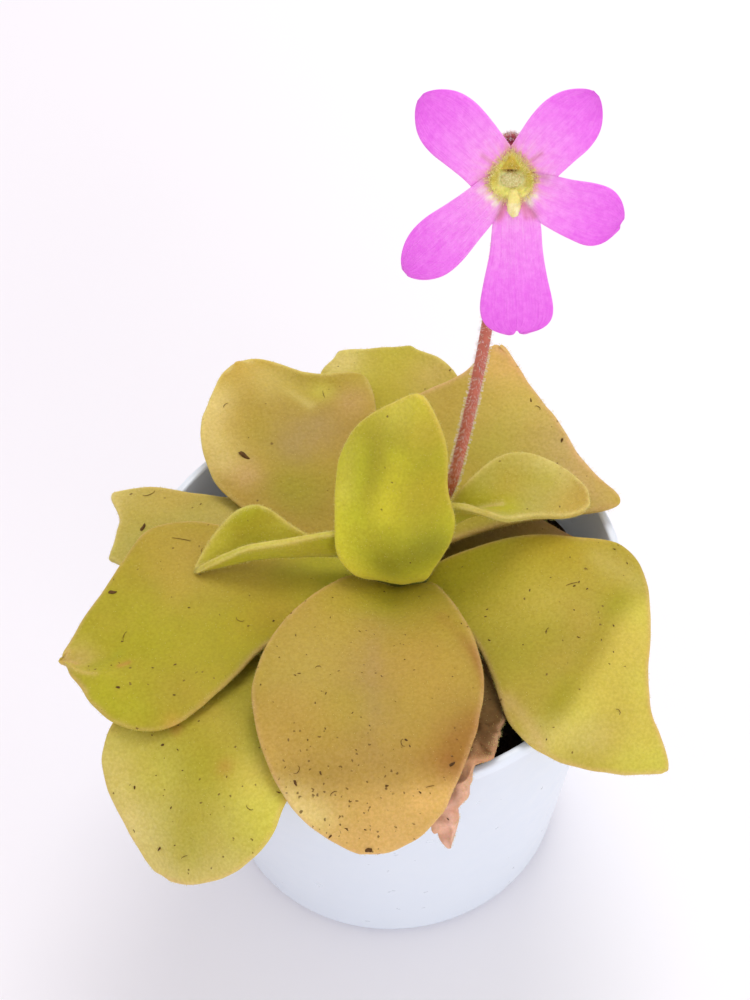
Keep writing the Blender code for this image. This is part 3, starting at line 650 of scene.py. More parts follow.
dress_leaf("leaf_left_lower", STRAW, LIME, STRAW, CREAM, patches=[
    ((-42, 20, 61), 4, CREAM, 0.6), ((-36, 14, 61), 5, GREEN, 0.35), ((-28, 18, 61.5), 5, OCHRE, 0.4),
], dusty=[((-35, 15, 61), 9, 0.03)])
# On the front-right leaf, the dark line and the green patch inside its fold are painted shade, and the pale line
# outside the fold and the pale and cream patches on its outer, down-turned part are painted light where it faces the
# light.
dress_leaf("leaf_front_right", OLIVE, YOUNG, PALE, PINK, patches=[
    ((27, 0, 65), 7, GOLD, 0.8), ((16, 3, 62), 6, YOUNG, 0.7), ((23.5, -8.5, 63.5), 6, (0.58, 0.46, 0.08), 0.8),
    (((38.5, -12, 63.5), (33.8, -19, 62), (28.5, -26.5, 61), (24, -31.5, 60.5)), 2.4, (0.72, 0.63, 0.10), 0.6),
    (((35, -10.2, 64), (30.6, -17.4, 63), (25.2, -25.2, 62), (21, -30.5, 61.5)), 1.8, (0.34, 0.29, 0.016), 0.85),
    ((22, -17, 63), 6, LIME, 0.4), (((38, -16, 63), (36.5, -24, 60), (35.5, -32, 56)), 4.2, PALE, 0.8),
    (((29, -31, 60), (21.5, -31.5, 61)), 3.2, CREAM, 0.45), ((31, -26, 61), 4, PALE, 0.55),
    (((17, -25, 62.5), (21, -32, 61)), 1.2, PINK, 0.35), (((33, -3, 65.3), (38.5, -8, 64)), 2.0, CREAM, 0.25),
], dusty=[((28, -10, 62), 16, 0.03), ((27, -30, 60), 6, 0.04)])
# On the back-left leaf, the mauve patch is painted shade where it faces down, the cream band on its left margin is
# painted light, and the umber and thin cream lines near its far edge are painted shade in a crease beside a painted
# highlight on its ridge.
dress_leaf("leaf_back_left", OCHRE, OLIVE, AMBER, CREAM, slot="leaf_ochre", patches=[
    (((-24, 34, 66), (-25, 28, 66), (-23, 23, 65)), 3.5, CREAM, 0.7), ((-17, 27.7, 65), 6, OLIVE, 0.6),
    (((-11, 25, 64), (-8, 28, 64)), 4, MAUVE, 0.8), (((-13, 33.5, 65), (-7, 31.5, 64.3)), 1.6, UMBER, 0.35),
    (((-12, 35.5, 65.5), (-9, 32.5, 64.5)), 0.9, CREAM, 0.5), ((-14, 38, 66), 5, CREAM, 0.35),
    ((-19, 20, 64), 2.6, PINK, 0.35), ((-2, 33, 65), 3, PINK, 0.25), ((-12, 17, 62.5), 5, (0.34, 0.29, 0.03), 0.7),
    ((-7, 35.5, 65), 2.2, PALE, 0.6),
])
dress_leaf("leaf_back", (0.48, 0.39, 0.035), OLIVE, GREEN, CREAM, patches=[
    ((-3.5, 43.5, 63), 4, CREAM, 0.8), ((12, 40, 63), 5, (0.58, 0.42, 0.13), 0.9), ((4, 43, 62), 5, PALE, 0.3),
], dusty=[((-4, 43, 63), 5, 0.14)])
dress_leaf("leaf_back_right", OLIVE, OLIVE, AMBER, PINK, slot="leaf_ochre", rim_width=0.8, patches=[
    ((23, 37, 67), 6, PEACH, 0.9), ((24, 26, 65), 8, (0.60, 0.49, 0.11), 0.8),
    ((31, 21, 65), 6, (0.60, 0.46, 0.18), 0.8), ((15, 33, 65), 6, OCHRE, 0.5),
    (((35, 9, 63), (32, 15, 64)), 3, PINK, 0.35), ((20, 22, 65), 5, GREEN, 0.4),
], dusty=[((24, 28, 66), 12, 0.02)])
dress_leaf("leaf_right_lower", (0.62, 0.40, 0.16), BROWN, PINK, PINK, slot="leaf_ochre")
dress_leaf("leaf_withered", FADED, BROWN, PINK, PINK, slot="leaf_ochre", crumple=1.1, finish=dry_skin, patches=[
    ((14, -30, 62), 4, (0.13, 0.065, 0.022), 0.8), ((15, -20, 60), 4, (0.26, 0.17, 0.06), 0.7),
    ((12.5, -36, 61.5), 3, (0.50, 0.25, 0.10), 0.8),
    (((10.5, -40, 57), (8.5, -45, 51)), 4.2, (1.0, 0.64, 0.55), 1.0),
])
dress_leaf("leaf_young_right", STRAW, SPRING, OCHRE, CREAM, patches=[
    ((27.5, 11, 71), 4, CREAM, 0.6), (((30, 3.4, 69), (34, 4, 68)), 4, AMBER, 0.5),
    (((14, 5, 70), (19.8, 4.4, 70)), 2.6, SPRING, 0.9), (((20, 8, 71.5), (26, 8.5, 71)), 2.2, GREEN, 0.6),
])
dress_leaf("leaf_young_left", (0.50, 0.53, 0.03), SPRING, SPRING, CREAM, patches=[
    (((-16, 6, 69.5), (-20, 5, 68)), 3.2, LIME, 1.0), (((-12, 1, 69), (-19, 1.5, 68)), 1.6, PALE, 0.35),
])
# The heart leaf's dark green root and the dark patch at its base are painted shade among the crowded leaves, the
# green stripe left of its middle is painted shade in its trough, and the pale band beside it is a painted highlight
# on its lit left side.
dress_leaf("leaf_heart", (0.76, 0.73, 0.05), SHADE, (0.90, 0.76, 0.12), (0.72, 0.52, 0.14), rim_width=0.45, patches=[
    ((9, 0, 80), 4, (0.54, 0.43, 0.035), 0.8), ((8.5, 4, 88), 3.5, (0.52, 0.38, 0.05), 0.7),
    (((3, 2, 84), (2, 0, 76)), 2.8, (0.84, 0.80, 0.055), 0.8), ((3, 7, 91), 5, (0.76, 0.66, 0.11), 0.8),
    (((-1, 7, 82), (-2, 4, 76), (-2, -1, 70)), 1.6, (0.58, 0.60, 0.03), 0.7),
    (((-3.5, 8, 82), (-4.5, 4, 76)), 2.2, (0.80, 0.72, 0.12), 0.5),
    (((2, -4.5, 69), (8, -3, 70.5)), 4.5, (0.25, 0.24, 0.02), 0.9),
])

# Down: the short gland-tipped hairs of a butterwort, sparse on the blades and denser along their rims.
# One hair, a tapered stalk 1 mm tall under a round gland, is modelled and planted many times.

HAIR_FOOT, HAIR_NECK, GLAND = 0.09, 0.04, 0.16
LEAF_HAIRS = 7000
LEAF_HAIR_WIDTH = 0.22
RIM_BAND = 0.7
BLADE_SHARE = 0.12
BLADE_HAIR, RIM_HAIR, LONG_RIM_HAIR = 0.12, 0.18, 0.36
LONG_RIM_START = 18.0

tissue = Finish("gland_hair", Roughness=0.3, Specular_IOR_Level=0.3, soft=(0.4, 0.0005))
tissue.paint(tissue.grain(300.0), (0.62, 0.50, 0.10), (0.80, 0.70, 0.26))
pale_tissue = Finish("pale_hair", Roughness=0.3, Specular_IOR_Level=0.4, soft=(0.4, 0.0005))
pale_tissue.paint(pale_tissue.grain(300.0), (0.86, 0.74, 0.62), (0.95, 0.88, 0.84))


def scattered(piece, count):
    """Random places on a piece, with the outward direction at each."""
    mesh = piece.data
    mesh.calc_loop_triangles()
    corners = np.array([triangle.vertices[:] for triangle in mesh.loop_triangles])
    a, b, c = (points_of(mesh)[corners[:, k]] for k in range(3))
    cross = np.cross(b - a, c - a)
    area = np.linalg.norm(cross, axis=1)
    pick = rng.choice(len(corners), count, p=area / area.sum())
    u, v = np.sqrt(rng.uniform(0, 1, count))[:, None], rng.uniform(0, 1, count)[:, None]
    places = a[pick] * (1 - u) + b[pick] * u * (1 - v) + c[pick] * u * v
    return places, cross[pick] / area[pick][:, None]


def hairs(name, places, directions, width, tall, finish):
    """Plants the hair at each place, with its height in mm and the share of its full width."""
    sizes = np.stack([np.full(len(tall), width), np.full(len(tall), width), tall], axis=1)
    return planted(name, hair, places, directions, sizes, finish)


bpy.ops.mesh.primitive_cone_add(
    vertices=3, radius1=HAIR_FOOT * MM, radius2=HAIR_NECK * MM, depth=MM, location=(0, 0, MM / 2)
)
hair = bpy.context.object
bpy.ops.mesh.primitive_ico_sphere_add(subdivisions=1, radius=GLAND * MM, location=(0, 0, MM))
hair.select_set(True)
bpy.context.view_layer.objects.active = hair
bpy.ops.object.join()
bpy.ops.object.transform_apply(location=True, rotation=True, scale=True)
for leaf in leaves:
    node = leaf.name.removesuffix("_blade")
    places, outward = scattered(leaf, LEAF_HAIRS)
    near_rim = rim_distance(node, places) < RIM_BAND
    keep = near_rim | (rng.uniform(0, 1, len(places)) < BLADE_SHARE)
    places, outward, near_rim = places[keep], outward[keep], near_rim[keep]
    rim_hair = np.where((node == "leaf_back_right") & (places[:, 0] > LONG_RIM_START), LONG_RIM_HAIR, RIM_HAIR)
    tall = np.where(near_rim, rim_hair, BLADE_HAIR) * rng.uniform(0.7, 1.3, len(places))
    lean = outward + rng.normal(0, 0.25, outward.shape)
    fitted(hairs(node + "_down", places, lean, LEAF_HAIR_WIDTH, tall, tissue), "leaf_green")

# Peat bits: dark crumbs and fibres of peat that were splashed onto the leaves. The larger ones lie at their
# own places, in mm, on the nearest leaf, and the smaller ones are strewn at random.

CRUMB_LIFT = 0.05
FLAT_CRUMB = (0.5, 0.22, 0.14)
FIBRE_RADIUS = 0.05
FIBRE_LIFT = 0.08
FIBRE_POINTS = 8
FIBRE_CURL = 1.3

# Each crumb's place, by X, Y and Z, and its length.
BITS = (
    (-35.8, 12.7, 61.2, 1.6), (-39.7, -1.4, 63.8, 1.1), (-28.5, -5.1, 63.7, 0.4), (-38.6, -18.8, 63.5, 0.6),
    (-19.7, -9.0, 62.9, 0.4), (-16.0, -8.0, 62.3, 0.5), (-32.7, -26.9, 60.6, 0.6), (-34.2, -38.7, 51.5, 0.9),
    (-37.2, -31.5, 56.8, 0.5), (26.3, 29.0, 65.8, 0.7), (30.4, 20.8, 64.9, 0.8), (-19.6, 22.9, 64.5, 1.6),
    (29.8, -6.9, 64.6, 0.5), (30.6, -8.0, 64.6, 0.4), (28.7, -7.4, 64.6, 0.4), (-2.8, -30.5, 66.3, 0.4),
    (2.3, -32.9, 65.9, 0.7), (2.7, -34.0, 65.9, 0.4), (8.3, -36.6, 64.9, 0.8), (-13.6, -36.8, 63.3, 0.7),
    (-16.0, -36.9, 60.9, 0.5), (-9.9, -36.3, 64.1, 0.6), (-0.8, -38.8, 63.3, 0.7), (3.7, -39.6, 62.9, 0.6),
    (-4.1, -44.4, 56.4, 1.3), (-9.3, -42.7, 58.0, 0.8), (-4.3, -42.8, 59.1, 0.5), (-6.9, -42.4, 59.0, 0.5),
    (22.4, -6.7, 63.3, 0.4), (31.5, -16.7, 63.2, 0.4), (-26.7, 6.9, 63.1, 0.4), (21.8, -31.4, 60.7, 0.4),
)
crumb_skin = Finish("peat_crumb", Roughness=0.9, Specular_IOR_Level=0.15)
crumb_skin.paint(crumb_skin.grain(900.0), (0.03, 0.014, 0.006), (0.20, 0.10, 0.03))


def strewn(name, places, outward, lengths):
    """Crumbs that lie on the leaves."""
    directions = outward + rng.normal(0, 0.15, outward.shape)
    sizes = np.array(lengths)[:, None] * np.array([FLAT_CRUMB]) * rng.uniform(0.7, 1.3, (len(places), 3))
    fitted(planted(name, lump, places + outward * CRUMB_LIFT, directions, sizes, crumb_skin), "peat")


def threads(name, radius, roundness, runs):
    """Round threads. Each run is a list of points, in mm, with the share of the full radius there."""
    data = bpy.data.curves.new(name, "CURVE")
    data.dimensions = "3D"
    data.bevel_depth = radius * MM
    data.bevel_resolution = roundness
    data.use_fill_caps = True
    for run in runs:
        line = data.splines.new("POLY")
        line.points.add(len(run) - 1)
        for point, (place, share) in zip(line.points, run, strict=True):
            point.co = (*(np.array(place) * MM), 1)
            point.radius = share
    only(linked(name, data))
    bpy.ops.object.convert(target="MESH")
    return bpy.context.object


surface_points = np.concatenate([points_of(leaf.data) for leaf in leaves])
surface_out = np.concatenate([[vert.normal[:] for vert in leaf.data.vertices] for leaf in leaves])
spots = [np.argmin(((surface_points - place) ** 2).sum(axis=1)) for *place, length in BITS]
strewn("peat_bits", surface_points[spots], surface_out[spots], [bit[-1] for bit in BITS])

# Each fibre's middle, by X, Y and Z, its heading in degrees and its length.
FIBRES = (
    (-34.8, 19.2, 61.4, 20, 2.2), (-29.5, 8.0, 63.5, -12, 3.0), (-38.0, -9.5, 63.5, 70, 1.6),
    (-26.5, 5.5, 63.4, 95, 1.4), (-21.0, -8.0, 63.0, 150, 1.5), (-8.5, -38.5, 62.5, 35, 1.3),
    (-13.0, -35.5, 64.0, 60, 1.6), (1.5, -33.5, 66.0, 100, 1.4), (5.0, -39.0, 63.0, 10, 1.2),
    (-30.5, -41.0, 52.5, 25, 1.5), (-20.5, -38.5, 60.0, 140, 1.3), (28.5, -7.0, 64.6, 10, 1.8),
    (24.0, -14.0, 63.0, 60, 1.2), (33.0, -27.0, 60.0, 120, 1.3), (-6.5, 35.0, 64.8, 100, 1.6),
    (-22.3, 33.0, 66.3, 50, 1.2), (27.5, 27.5, 66.0, 130, 1.3), (-9.5, -19.5, 66.0, 5, 1.0),
)
fibre_runs = []
for *place, heading, length in FIBRES:
    curl, run = rng.uniform(-FIBRE_CURL, FIBRE_CURL), []
    for along in np.linspace(-0.5, 0.5, FIBRE_POINTS):
        turn = math.radians(heading) + along * abs(along) * curl * 2
        target = np.array(place) + length * along * np.array([math.cos(turn), math.sin(turn), 0])
        nearest = np.argmin(((surface_points - target) ** 2).sum(axis=1))
        rise = (surface_points[nearest] - target) @ surface_out[nearest]
        run.append((target + surface_out[nearest] * (FIBRE_LIFT + rise), 1.0 - abs(along) * 0.8))
    fibre_runs.append(run)
fibres = threads("peat_fibres", FIBRE_RADIUS, roundness=1, runs=fibre_runs)
finished_in(fibres, crumb_skin)
fitted(fibres, "peat")

# How many small crumbs lie on each leaf, in the order of the leaves.
STREWN = (90, 40, 26, 10, 26, 10, 5, 8, 5, 20, 4, 3, 2)
small_places, small_out = [], []
for leaf, count in zip(leaves, STREWN, strict=True):
    places, outward = scattered(leaf, count * 3)
    upper = np.argsort(-outward[:, 2] + rng.uniform(0, 1.2, len(outward)))[:count]
    small_places.append(places[upper])
    small_out.append(outward[upper])
small_places, small_out = np.concatenate(small_places), np.concatenate(small_out)
strewn("peat_dust", small_places, small_out, rng.uniform(0.12, 0.42, len(small_places)))

# Flower stalk: one slender, reddish, fleshy stalk that rises from the crown and is covered with pale
# gland-tipped hairs. It is a smooth copy of its plain solid.

red_stalk = Finish("stalk_skin", Specular_IOR_Level=0.4, Roughness=0.5, soft=(0.3, 0.0012, (1.0, 0.4, 0.3)))
streak = red_stalk.grain(700.0, 3.0)
red_stalk.paint(streak, (0.43, 0.10, 0.065), (0.64, 0.20, 0.14))
red_stalk.emboss(streak, 0.0001)
stalk = smooth_copy("scape", "flower_stalk", 2, red_stalk)
fitted(stalk, "scape", "scape")


def downy(name, piece, finish, slot, count, width, low, high, sway=0.0):
    """Hairs all over a piece, from low to high in mm, that sway from upright."""
    places, directions = scattered(piece, count)
    tall = rng.uniform(low, high, count)
    if sway:
        directions = directions + rng.normal(0, sway, directions.shape)
    fitted(hairs(name, places, directions, width, tall, finish), slot)


downy("flower_stalk_down", stalk, pale_tissue, "scape", count=3200, width=0.28, low=0.24, high=0.42, sway=0.2)

# Calyx: the small dark red cup behind the flower, with five pointed lobes and short pale hairs. It is a smooth
# copy of its plain solid.

cup = Finish("calyx_skin", Roughness=0.5, soft=(0.2, 0.0008))
cup.paint(cup.grain(900.0), (0.26, 0.05, 0.05), (0.55, 0.18, 0.14))
calyx = smooth_copy("calyx", "calyx_cup", 1, cup)
fitted(calyx, "calyx", "calyx")
downy("calyx_down", calyx, pale_tissue, "calyx", count=420, width=0.35, low=0.15, high=0.35)

# Corolla: five thin violet lobes, each wider towards its tip, joined at a yellow-green throat. The lobes are
# grids shaped on their own axes, given their thickness and painted by their distance from the throat.

FLOWER_CENTRE = (21.0, 9.0, 130.0)
FLOWER_LIFT = math.radians(34)
FLOWER_TURN = math.radians(-4)
FLOWER_ROLL = math.radians(-2)
PETAL_ROWS, PETAL_COLUMNS = 44, 20
PETAL_ROOT = 2.3
PETAL_DEPTH = -0.5
PETAL_THICKNESS = 0.5
MIDLINE_STEPS = 200
RAYS = 26
BLUSH_REACH = 5.3
VIOLET_START = 4.5
flower = posed(FLOWER_CENTRE, FLOWER_TURN, math.radians(90) - FLOWER_LIFT, FLOWER_ROLL)

VIOLET = (0.90, 0.23, 0.90)
DARK_VIOLET = (0.79, 0.135, 0.81)
PALE_VIOLET = (1.0, 0.36, 0.93)
BLUSH = (0.95, 0.46, 0.72)
LEMON = (0.84, 0.70, 0.18)
MAROON = (0.62, 0.18, 0.30)
MAUVE_BROWN = (0.62, 0.26, 0.34)
RAY = (1.0, 0.90, 0.76)

# Lines on the lobes round the throat, each with its ends in the flower's plane, its width, colour and strength.
THROAT_MARKS = (
    ((-1.0, -3.4), (-1.6, -5.1), 0.55, MAROON, 0.75), ((-0.7, -3.6), (-1.1, -4.7), 0.35, MAROON, 0.45),
    ((1.6, -3.0), (2.9, -4.8), 0.55, MAROON, 0.75), ((1.3, -3.4), (1.9, -5.0), 0.40, MAROON, 0.55),
    ((1.5, 1.5), (3.7, 3.1), 0.30, MAUVE_BROWN, 0.60), ((-2.2, 1.5), (-3.8, 2.8), 0.30, MAUVE_BROWN, 0.50),
    ((-0.3, 3.0), (-0.3, 4.6), 0.80, MAUVE_BROWN, 0.55), ((2.8, 0.4), (4.4, 0.1), 0.50, MAUVE_BROWN, 0.45),
    ((-2.8, 0.2), (-4.2, 0.0), 0.50, MAUVE_BROWN, 0.35), ((-1.6, -2.2), (-3.0, -2.5), 0.45, RAY, 0.85),
    ((-1.4, -2.6), (-2.2, -3.3), 0.45, RAY, 0.85), ((1.7, -2.2), (3.1, -2.2), 0.45, RAY, 0.85),
    ((1.6, -2.5), (2.5, -3.2), 0.40, RAY, 0.85), ((-2.6, -1.5), (-4.2, -1.7), 0.35, RAY, 0.50),
)


def mouth_reach(bearing):
    """How far the throat's yellow reaches, in mm, at each bearing in the flower's plane."""
    stops = np.radians(np.arange(-180, 181, 30))
    return np.interp(bearing, stops, [2.75, 3.0, 2.8, 2.6, 2.8, 3.0, 2.75, 2.3, 2.45, 3.2, 2.5, 2.35, 2.75])


def between(values, along):
    """A smooth curve through evenly spaced values, read at each place in along, from 0 to 1."""
    values = np.asarray(values, float)
    padded = np.concatenate([[2 * values[0] - values[1]], values, [2 * values[-1] - values[-2]]])
    place = np.clip(np.asarray(along, float), 0, 1) * (len(values) - 1)
    start = np.minimum(place.astype(int), len(values) - 2)
    t = place - start
    before, here, after, beyond = (padded[start + k] for k in range(4))
    return (
        here * (2 * t**3 - 3 * t**2 + 1) + (after - before) / 2 * (t**3 - 2 * t**2 + t)
        + after * (3 * t**2 - 2 * t**3) + (beyond - here) / 2 * (t**3 - t**2)
    )


petal_skin = Finish(
    "petal_skin", Specular_IOR_Level=0.3, Roughness=0.55, soft=(0.4, 0.0012, (1.0, 0.5, 1.0)),
    Sheen_Weight=0.15, Sheen_Roughness=0.4, Sheen_Tint=(1.0, 0.8, 1.0, 1),
)
lobe_place = petal_skin.node("TexCoord", output=2)
stretch = petal_skin.node("VectorMath", {"operation": "MULTIPLY"}, {0: lobe_place, 1: (34.0, 3.0, 1.0)})
wander = petal_skin.node("TexNoise", None, {"Vector": petal_skin.place(), "Scale": 220.0}, output=1)
stretch = petal_skin.node("VectorMath", {"operation": "MULTIPLY_ADD"}, {0: wander, 1: (2.0, 0.4, 0.0), 2: stretch})
veins = petal_skin.node("TexNoise", None, {"Vector": stretch, "Scale": 1.0, "Detail": 3.0, "Roughness": 0.6})
marble = petal_skin.grain(1100.0, 3.0, 0.7)
shade = petal_skin.mix(petal_skin.ramp(veins, 0.35, 0.7), (0.98, 0.90, 0.97), (1.04, 1.08, 1.02))
fleck = petal_skin.mix(petal_skin.ramp(marble, 0.3, 0.7), (0.97, 0.84, 0.96), (1.05, 1.14, 1.03))
dye = petal_skin.mix(1.0, petal_skin.attribute("tint", 0), shade, "MULTIPLY")
petal_skin.paint(1.0, dye, fleck, "MULTIPLY")
petal_skin.emboss(veins * 0.8 + marble * 0.5, 0.00018)


def in_flower(piece, finish, slot, *nodes):
    """Sets a piece that was made on the flower's own axes in its place."""
    finished_in(piece, finish)
    piece.data.transform(flower)
    fitted(piece, slot, *nodes)


def petal(name, heading, length, slope, left, right, blunt, notch=0.0):
    """One lobe, from its root at the throat. Its slopes and half widths are given at six even stations."""
    bpy.ops.mesh.primitive_grid_add(x_subdivisions=PETAL_COLUMNS, y_subdivisions=PETAL_ROWS, size=1.0)
    piece = bpy.context.object
    piece.name = name
    points = points_of(piece.data) * MM
    v = -points[:, 0] * 2
    s = 1 - (1 - (points[:, 1] + 0.5)) ** 1.35
    turn = math.radians(heading)
    fine = np.linspace(0, 1, MIDLINE_STEPS + 1)
    rise = np.radians(between(slope, fine))
    out, height = (
        np.interp(s, fine, np.concatenate([[0], np.cumsum((part[1:] + part[:-1]) / 2)]) * length / MIDLINE_STEPS)
        for part in (np.cos(rise), np.sin(rise))
    )
    half = np.where(v > 0, between(left, s), between(right, s)) * np.sqrt(np.maximum(1 - s**blunt, 0.02))
    aside = half * v
    out = PETAL_ROOT + (out - notch * np.exp(-((v / 0.3) ** 2)) * s**3)
    wave = 0.22 * np.sin(5.0 * s * math.pi / 2 + heading) * v * np.abs(v) * s + 0.10 * np.cos(9 * v) * s * (1 - s)
    x = out * math.cos(turn) - aside * math.sin(turn)
    y = out * math.sin(turn) + aside * math.cos(turn)
    move_points(piece.data, np.stack([x, y, height + PETAL_DEPTH + wave], axis=1))
    modified(piece, "SOLIDIFY", thickness=PETAL_THICKNESS * MM, offset=0.0)
    modified(piece, "SUBSURF", levels=1, render_levels=1)
    bpy.ops.object.shade_smooth()
    points = points_of(piece.data)
    distance = np.hypot(points[:, 0], points[:, 1])
    share = np.clip((distance - VIOLET_START) / (length - 3.0), 0, 1)
    colour = np.array([PALE_VIOLET] * len(points))
    tint_towards(colour, VIOLET, np.clip(share * 1.6, 0, 1))
    tint_towards(colour, DARK_VIOLET, np.clip(share * 2 - 1, 0, 1) * 0.6)
    bearing = np.arctan2(points[:, 1], points[:, 0])
    rays = 0.5 + 0.5 * np.sin(bearing * RAYS + 0.6 * np.sin(bearing * 9))
    tint_towards(colour, BLUSH, np.exp(-((distance / BLUSH_REACH) ** 4)) * (0.25 + 0.5 * rays))
    for start, end, width, hue, strength in THROAT_MARKS:
        tint_towards(colour, hue, strength * patch_weight(points[:, :2], (start, end), width))
    edge = mouth_reach(bearing) + 0.1 + 0.5 * rays
    tint_towards(colour, LEMON, 0.85 * np.exp(-((distance / edge) ** 5)))
    set_attribute(piece.data, "tint", colour)
    in_flower(piece, petal_skin, "petal", "corolla")


petal(
    "petal_upper_left", 139.5, 13.4, (30, 8, 0, -4, -6, -4),
    (4.4, 4.2, 4.4, 4.8, 4.9, 4.2), (2.8, 3.4, 4.0, 4.5, 4.6, 4.0), blunt=3.6,
)
petal(
    "petal_upper_right", 45.5, 12.8, (30, 8, 0, -4, -6, -4),
    (2.8, 3.4, 4.0, 4.4, 4.4, 3.6), (4.1, 4.1, 4.3, 4.8, 5.0, 4.3), blunt=3.2,
)
petal(
    "petal_right", -22, 13.2, (30, 8, 2, -3, -6, -8),
    (1.8, 2.3, 2.8, 3.5, 3.9, 3.6), (2.3, 3.7, 4.2, 4.5, 4.8, 4.6), blunt=7,
)
petal(
    "petal_lower", -87, 18.2, (25, 6, 2, 0, -3, -6),
    (2.6, 3.5, 3.7, 4.2, 5.0, 5.7), (2.0, 2.7, 3.2, 4.1, 4.9, 5.3), blunt=12, notch=0.5,
)
petal(
    "petal_lower_left", 222, 16.3, (30, 8, 2, -2, -5, -8),
    (2.0, 2.7, 3.3, 4.1, 4.7, 4.6), (2.4, 2.7, 3.2, 3.9, 4.2, 3.8), blunt=3.8,
)

# Throat: a short yellow-green funnel that joins the lobes, with a hood over its mouth, two side folds, the
# raised cream tongue and a fringe of yellow hairs. Behind, it ends in a thin curved spur, and a bent neck and
# the thickened end of the stalk hold it.

MOUTH_RINGS, MOUTH_STEPS = 46, 128
MOUTH_HALF_WIDTH, MOUTH_HALF_HEIGHT = 1.45, 0.95
MOUTH_WALL = 0.2
TONGUE_CENTRE, TONGUE_SIZE = (0.32, -3.4, 0.28), (0.85, 1.95, 0.5)
FUNNEL_STEPS = 48
FRINGE = 640
FRINGE_WIDTH = 0.3
TUBE_STEPS = 20
RIM_BLUSH = (0.93, 0.66, 0.36)
HOOD, FOLD, RIDGE = (0.58, 0.41, 0.04), (0.62, 0.49, 0.05), (0.94, 0.82, 0.20)
SLIT_SHADOW, BED, PALATE = (0.34, 0.17, 0.04), (0.80, 0.68, 0.12), (0.80, 0.72, 0.38)

throat_skin = Finish("throat_skin", Specular_IOR_Level=0.3, Roughness=0.55, soft=(0.3, 0.0008))
throat_grain = throat_skin.grain(1400.0, 3.0)
throat_dye = throat_skin.mix(throat_skin.ramp(throat_grain, 0.3, 0.7), (0.85, 0.85, 0.8), (1.1, 1.1, 1.2))
throat_skin.paint(1.0, throat_skin.attribute("tint", 0), throat_dye, "MULTIPLY")
throat_skin.emboss(throat_grain, 0.0001)

yellow_tissue = Finish("throat_hair", Roughness=0.4, Specular_IOR_Level=0.3)
yellow_tissue.paint(yellow_tissue.grain(400.0), (0.94, 0.80, 0.22), (1.0, 0.90, 0.45))


def shaded(piece, first, second, axis, start, end):
    """Colours a piece from one hue at start to another at end, in mm on one of the flower's axes."""
    share = np.clip((points_of(piece.data)[:, axis] - start) / (end - start), 0, 1)
    colour = np.array([first] * len(share))
    tint_towards(colour, second, share)
    set_attribute(piece.data, "tint", colour)
    in_flower(piece, throat_skin, "petal")


def hump(x, y, centre, size, power=4):
    """1 at the centre and fading at its half width and half height. A higher power makes it flatter."""
    return np.exp(-np.abs((x - centre[0]) / size[0]) ** power - np.abs((y - centre[1]) / size[1]) ** power)


def ease(value):
    value = np.clip(value, 0, 1)
    return value * value * (3 - 2 * value)


bpy.ops.mesh.primitive_circle_add(vertices=MOUTH_STEPS, radius=MM, fill_type="NOTHING")
mouth = bpy.context.object
mouth.name = "throat_mouth"
open_mesh(mouth)
for _ in range(MOUTH_RINGS):
    bpy.ops.mesh.extrude_region_move()
bpy.ops.object.mode_set(mode="OBJECT")
fixed_order(mouth.data)
ring_of = np.arange(MOUTH_STEPS * (MOUTH_RINGS + 1)) // MOUTH_STEPS
angle = 2 * math.pi * (np.arange(len(ring_of)) % MOUTH_STEPS) / MOUTH_STEPS
grow = ring_of / MOUTH_RINGS
reach = mouth_reach((angle + math.pi) % (2 * math.pi) - math.pi) + 0.15
x = np.cos(angle) * (MOUTH_HALF_WIDTH + (reach - MOUTH_HALF_WIDTH) * grow) - 0.05 * (1 - grow)
y = np.sin(angle) * (MOUTH_HALF_HEIGHT + (reach - MOUTH_HALF_HEIGHT) * grow) - 0.38 * (1 - grow)
radius = np.hypot(x, y)
rough = np.array([noise.noise(Vector((u, v, 0)) * 2.2) for u, v in zip(x, y, strict=True)])

# The hood rises over the mouth's upper half and a fold on each side, and the slit is sunk under the hood and painted
# dark brown as the shadow in it.
hood_half = 1.65 * (3.4 - y) / 2.45
hood_rise = ease((3.3 - y) / 0.7) * ease((y - 0.98) / 0.16) * ease((hood_half - np.abs(x + 0.15)) / 0.7)
fold_rise = hump(x, y, (-2.25, -0.15), (0.5, 1.1)) + hump(x, y, (2.3, -0.1), (0.5, 1.05))
slit_depth = hump(x, y, (-0.15, 0.84), (0.9, 0.24), 2)
z = -0.16 + 0.46 * np.clip(radius - 2.2, 0, 1.2) - 0.45 * ease((2.25 - radius) / 0.8)
z += 0.40 * hood_rise + 0.18 * fold_rise - 0.45 * slit_depth + 0.07 * rough - 0.32 * ease((grow - 0.72) / 0.28)
colour = np.array([BED] * len(x))
tint_towards(colour, RIDGE, ease((-0.9 - y) / 0.8))
tint_towards(colour, PALATE, hump(x, y, (-0.1, -0.3), (2.1, 0.95), 3))
tint_towards(colour, FOLD, fold_rise * 0.8)
tint_towards(colour, HOOD, ease(hood_rise * 1.2) * 0.9)
tint_towards(colour, SLIT_SHADOW, np.clip(slit_depth * 1.6, 0, 1))
tint_towards(colour, RIM_BLUSH, ease((grow - 0.74) / 0.26) * (0.75 + rough))
move_points(mouth.data, np.stack([x, y, z], axis=1))
set_attribute(mouth.data, "tint", colour)
modified(mouth, "SOLIDIFY", thickness=MOUTH_WALL * MM, offset=0.0)
open_mesh(mouth)
bpy.ops.mesh.normals_make_consistent(inside=False)
bpy.ops.object.mode_set(mode="OBJECT")
bpy.ops.object.shade_smooth()
in_flower(mouth, throat_skin, "petal", "corolla")

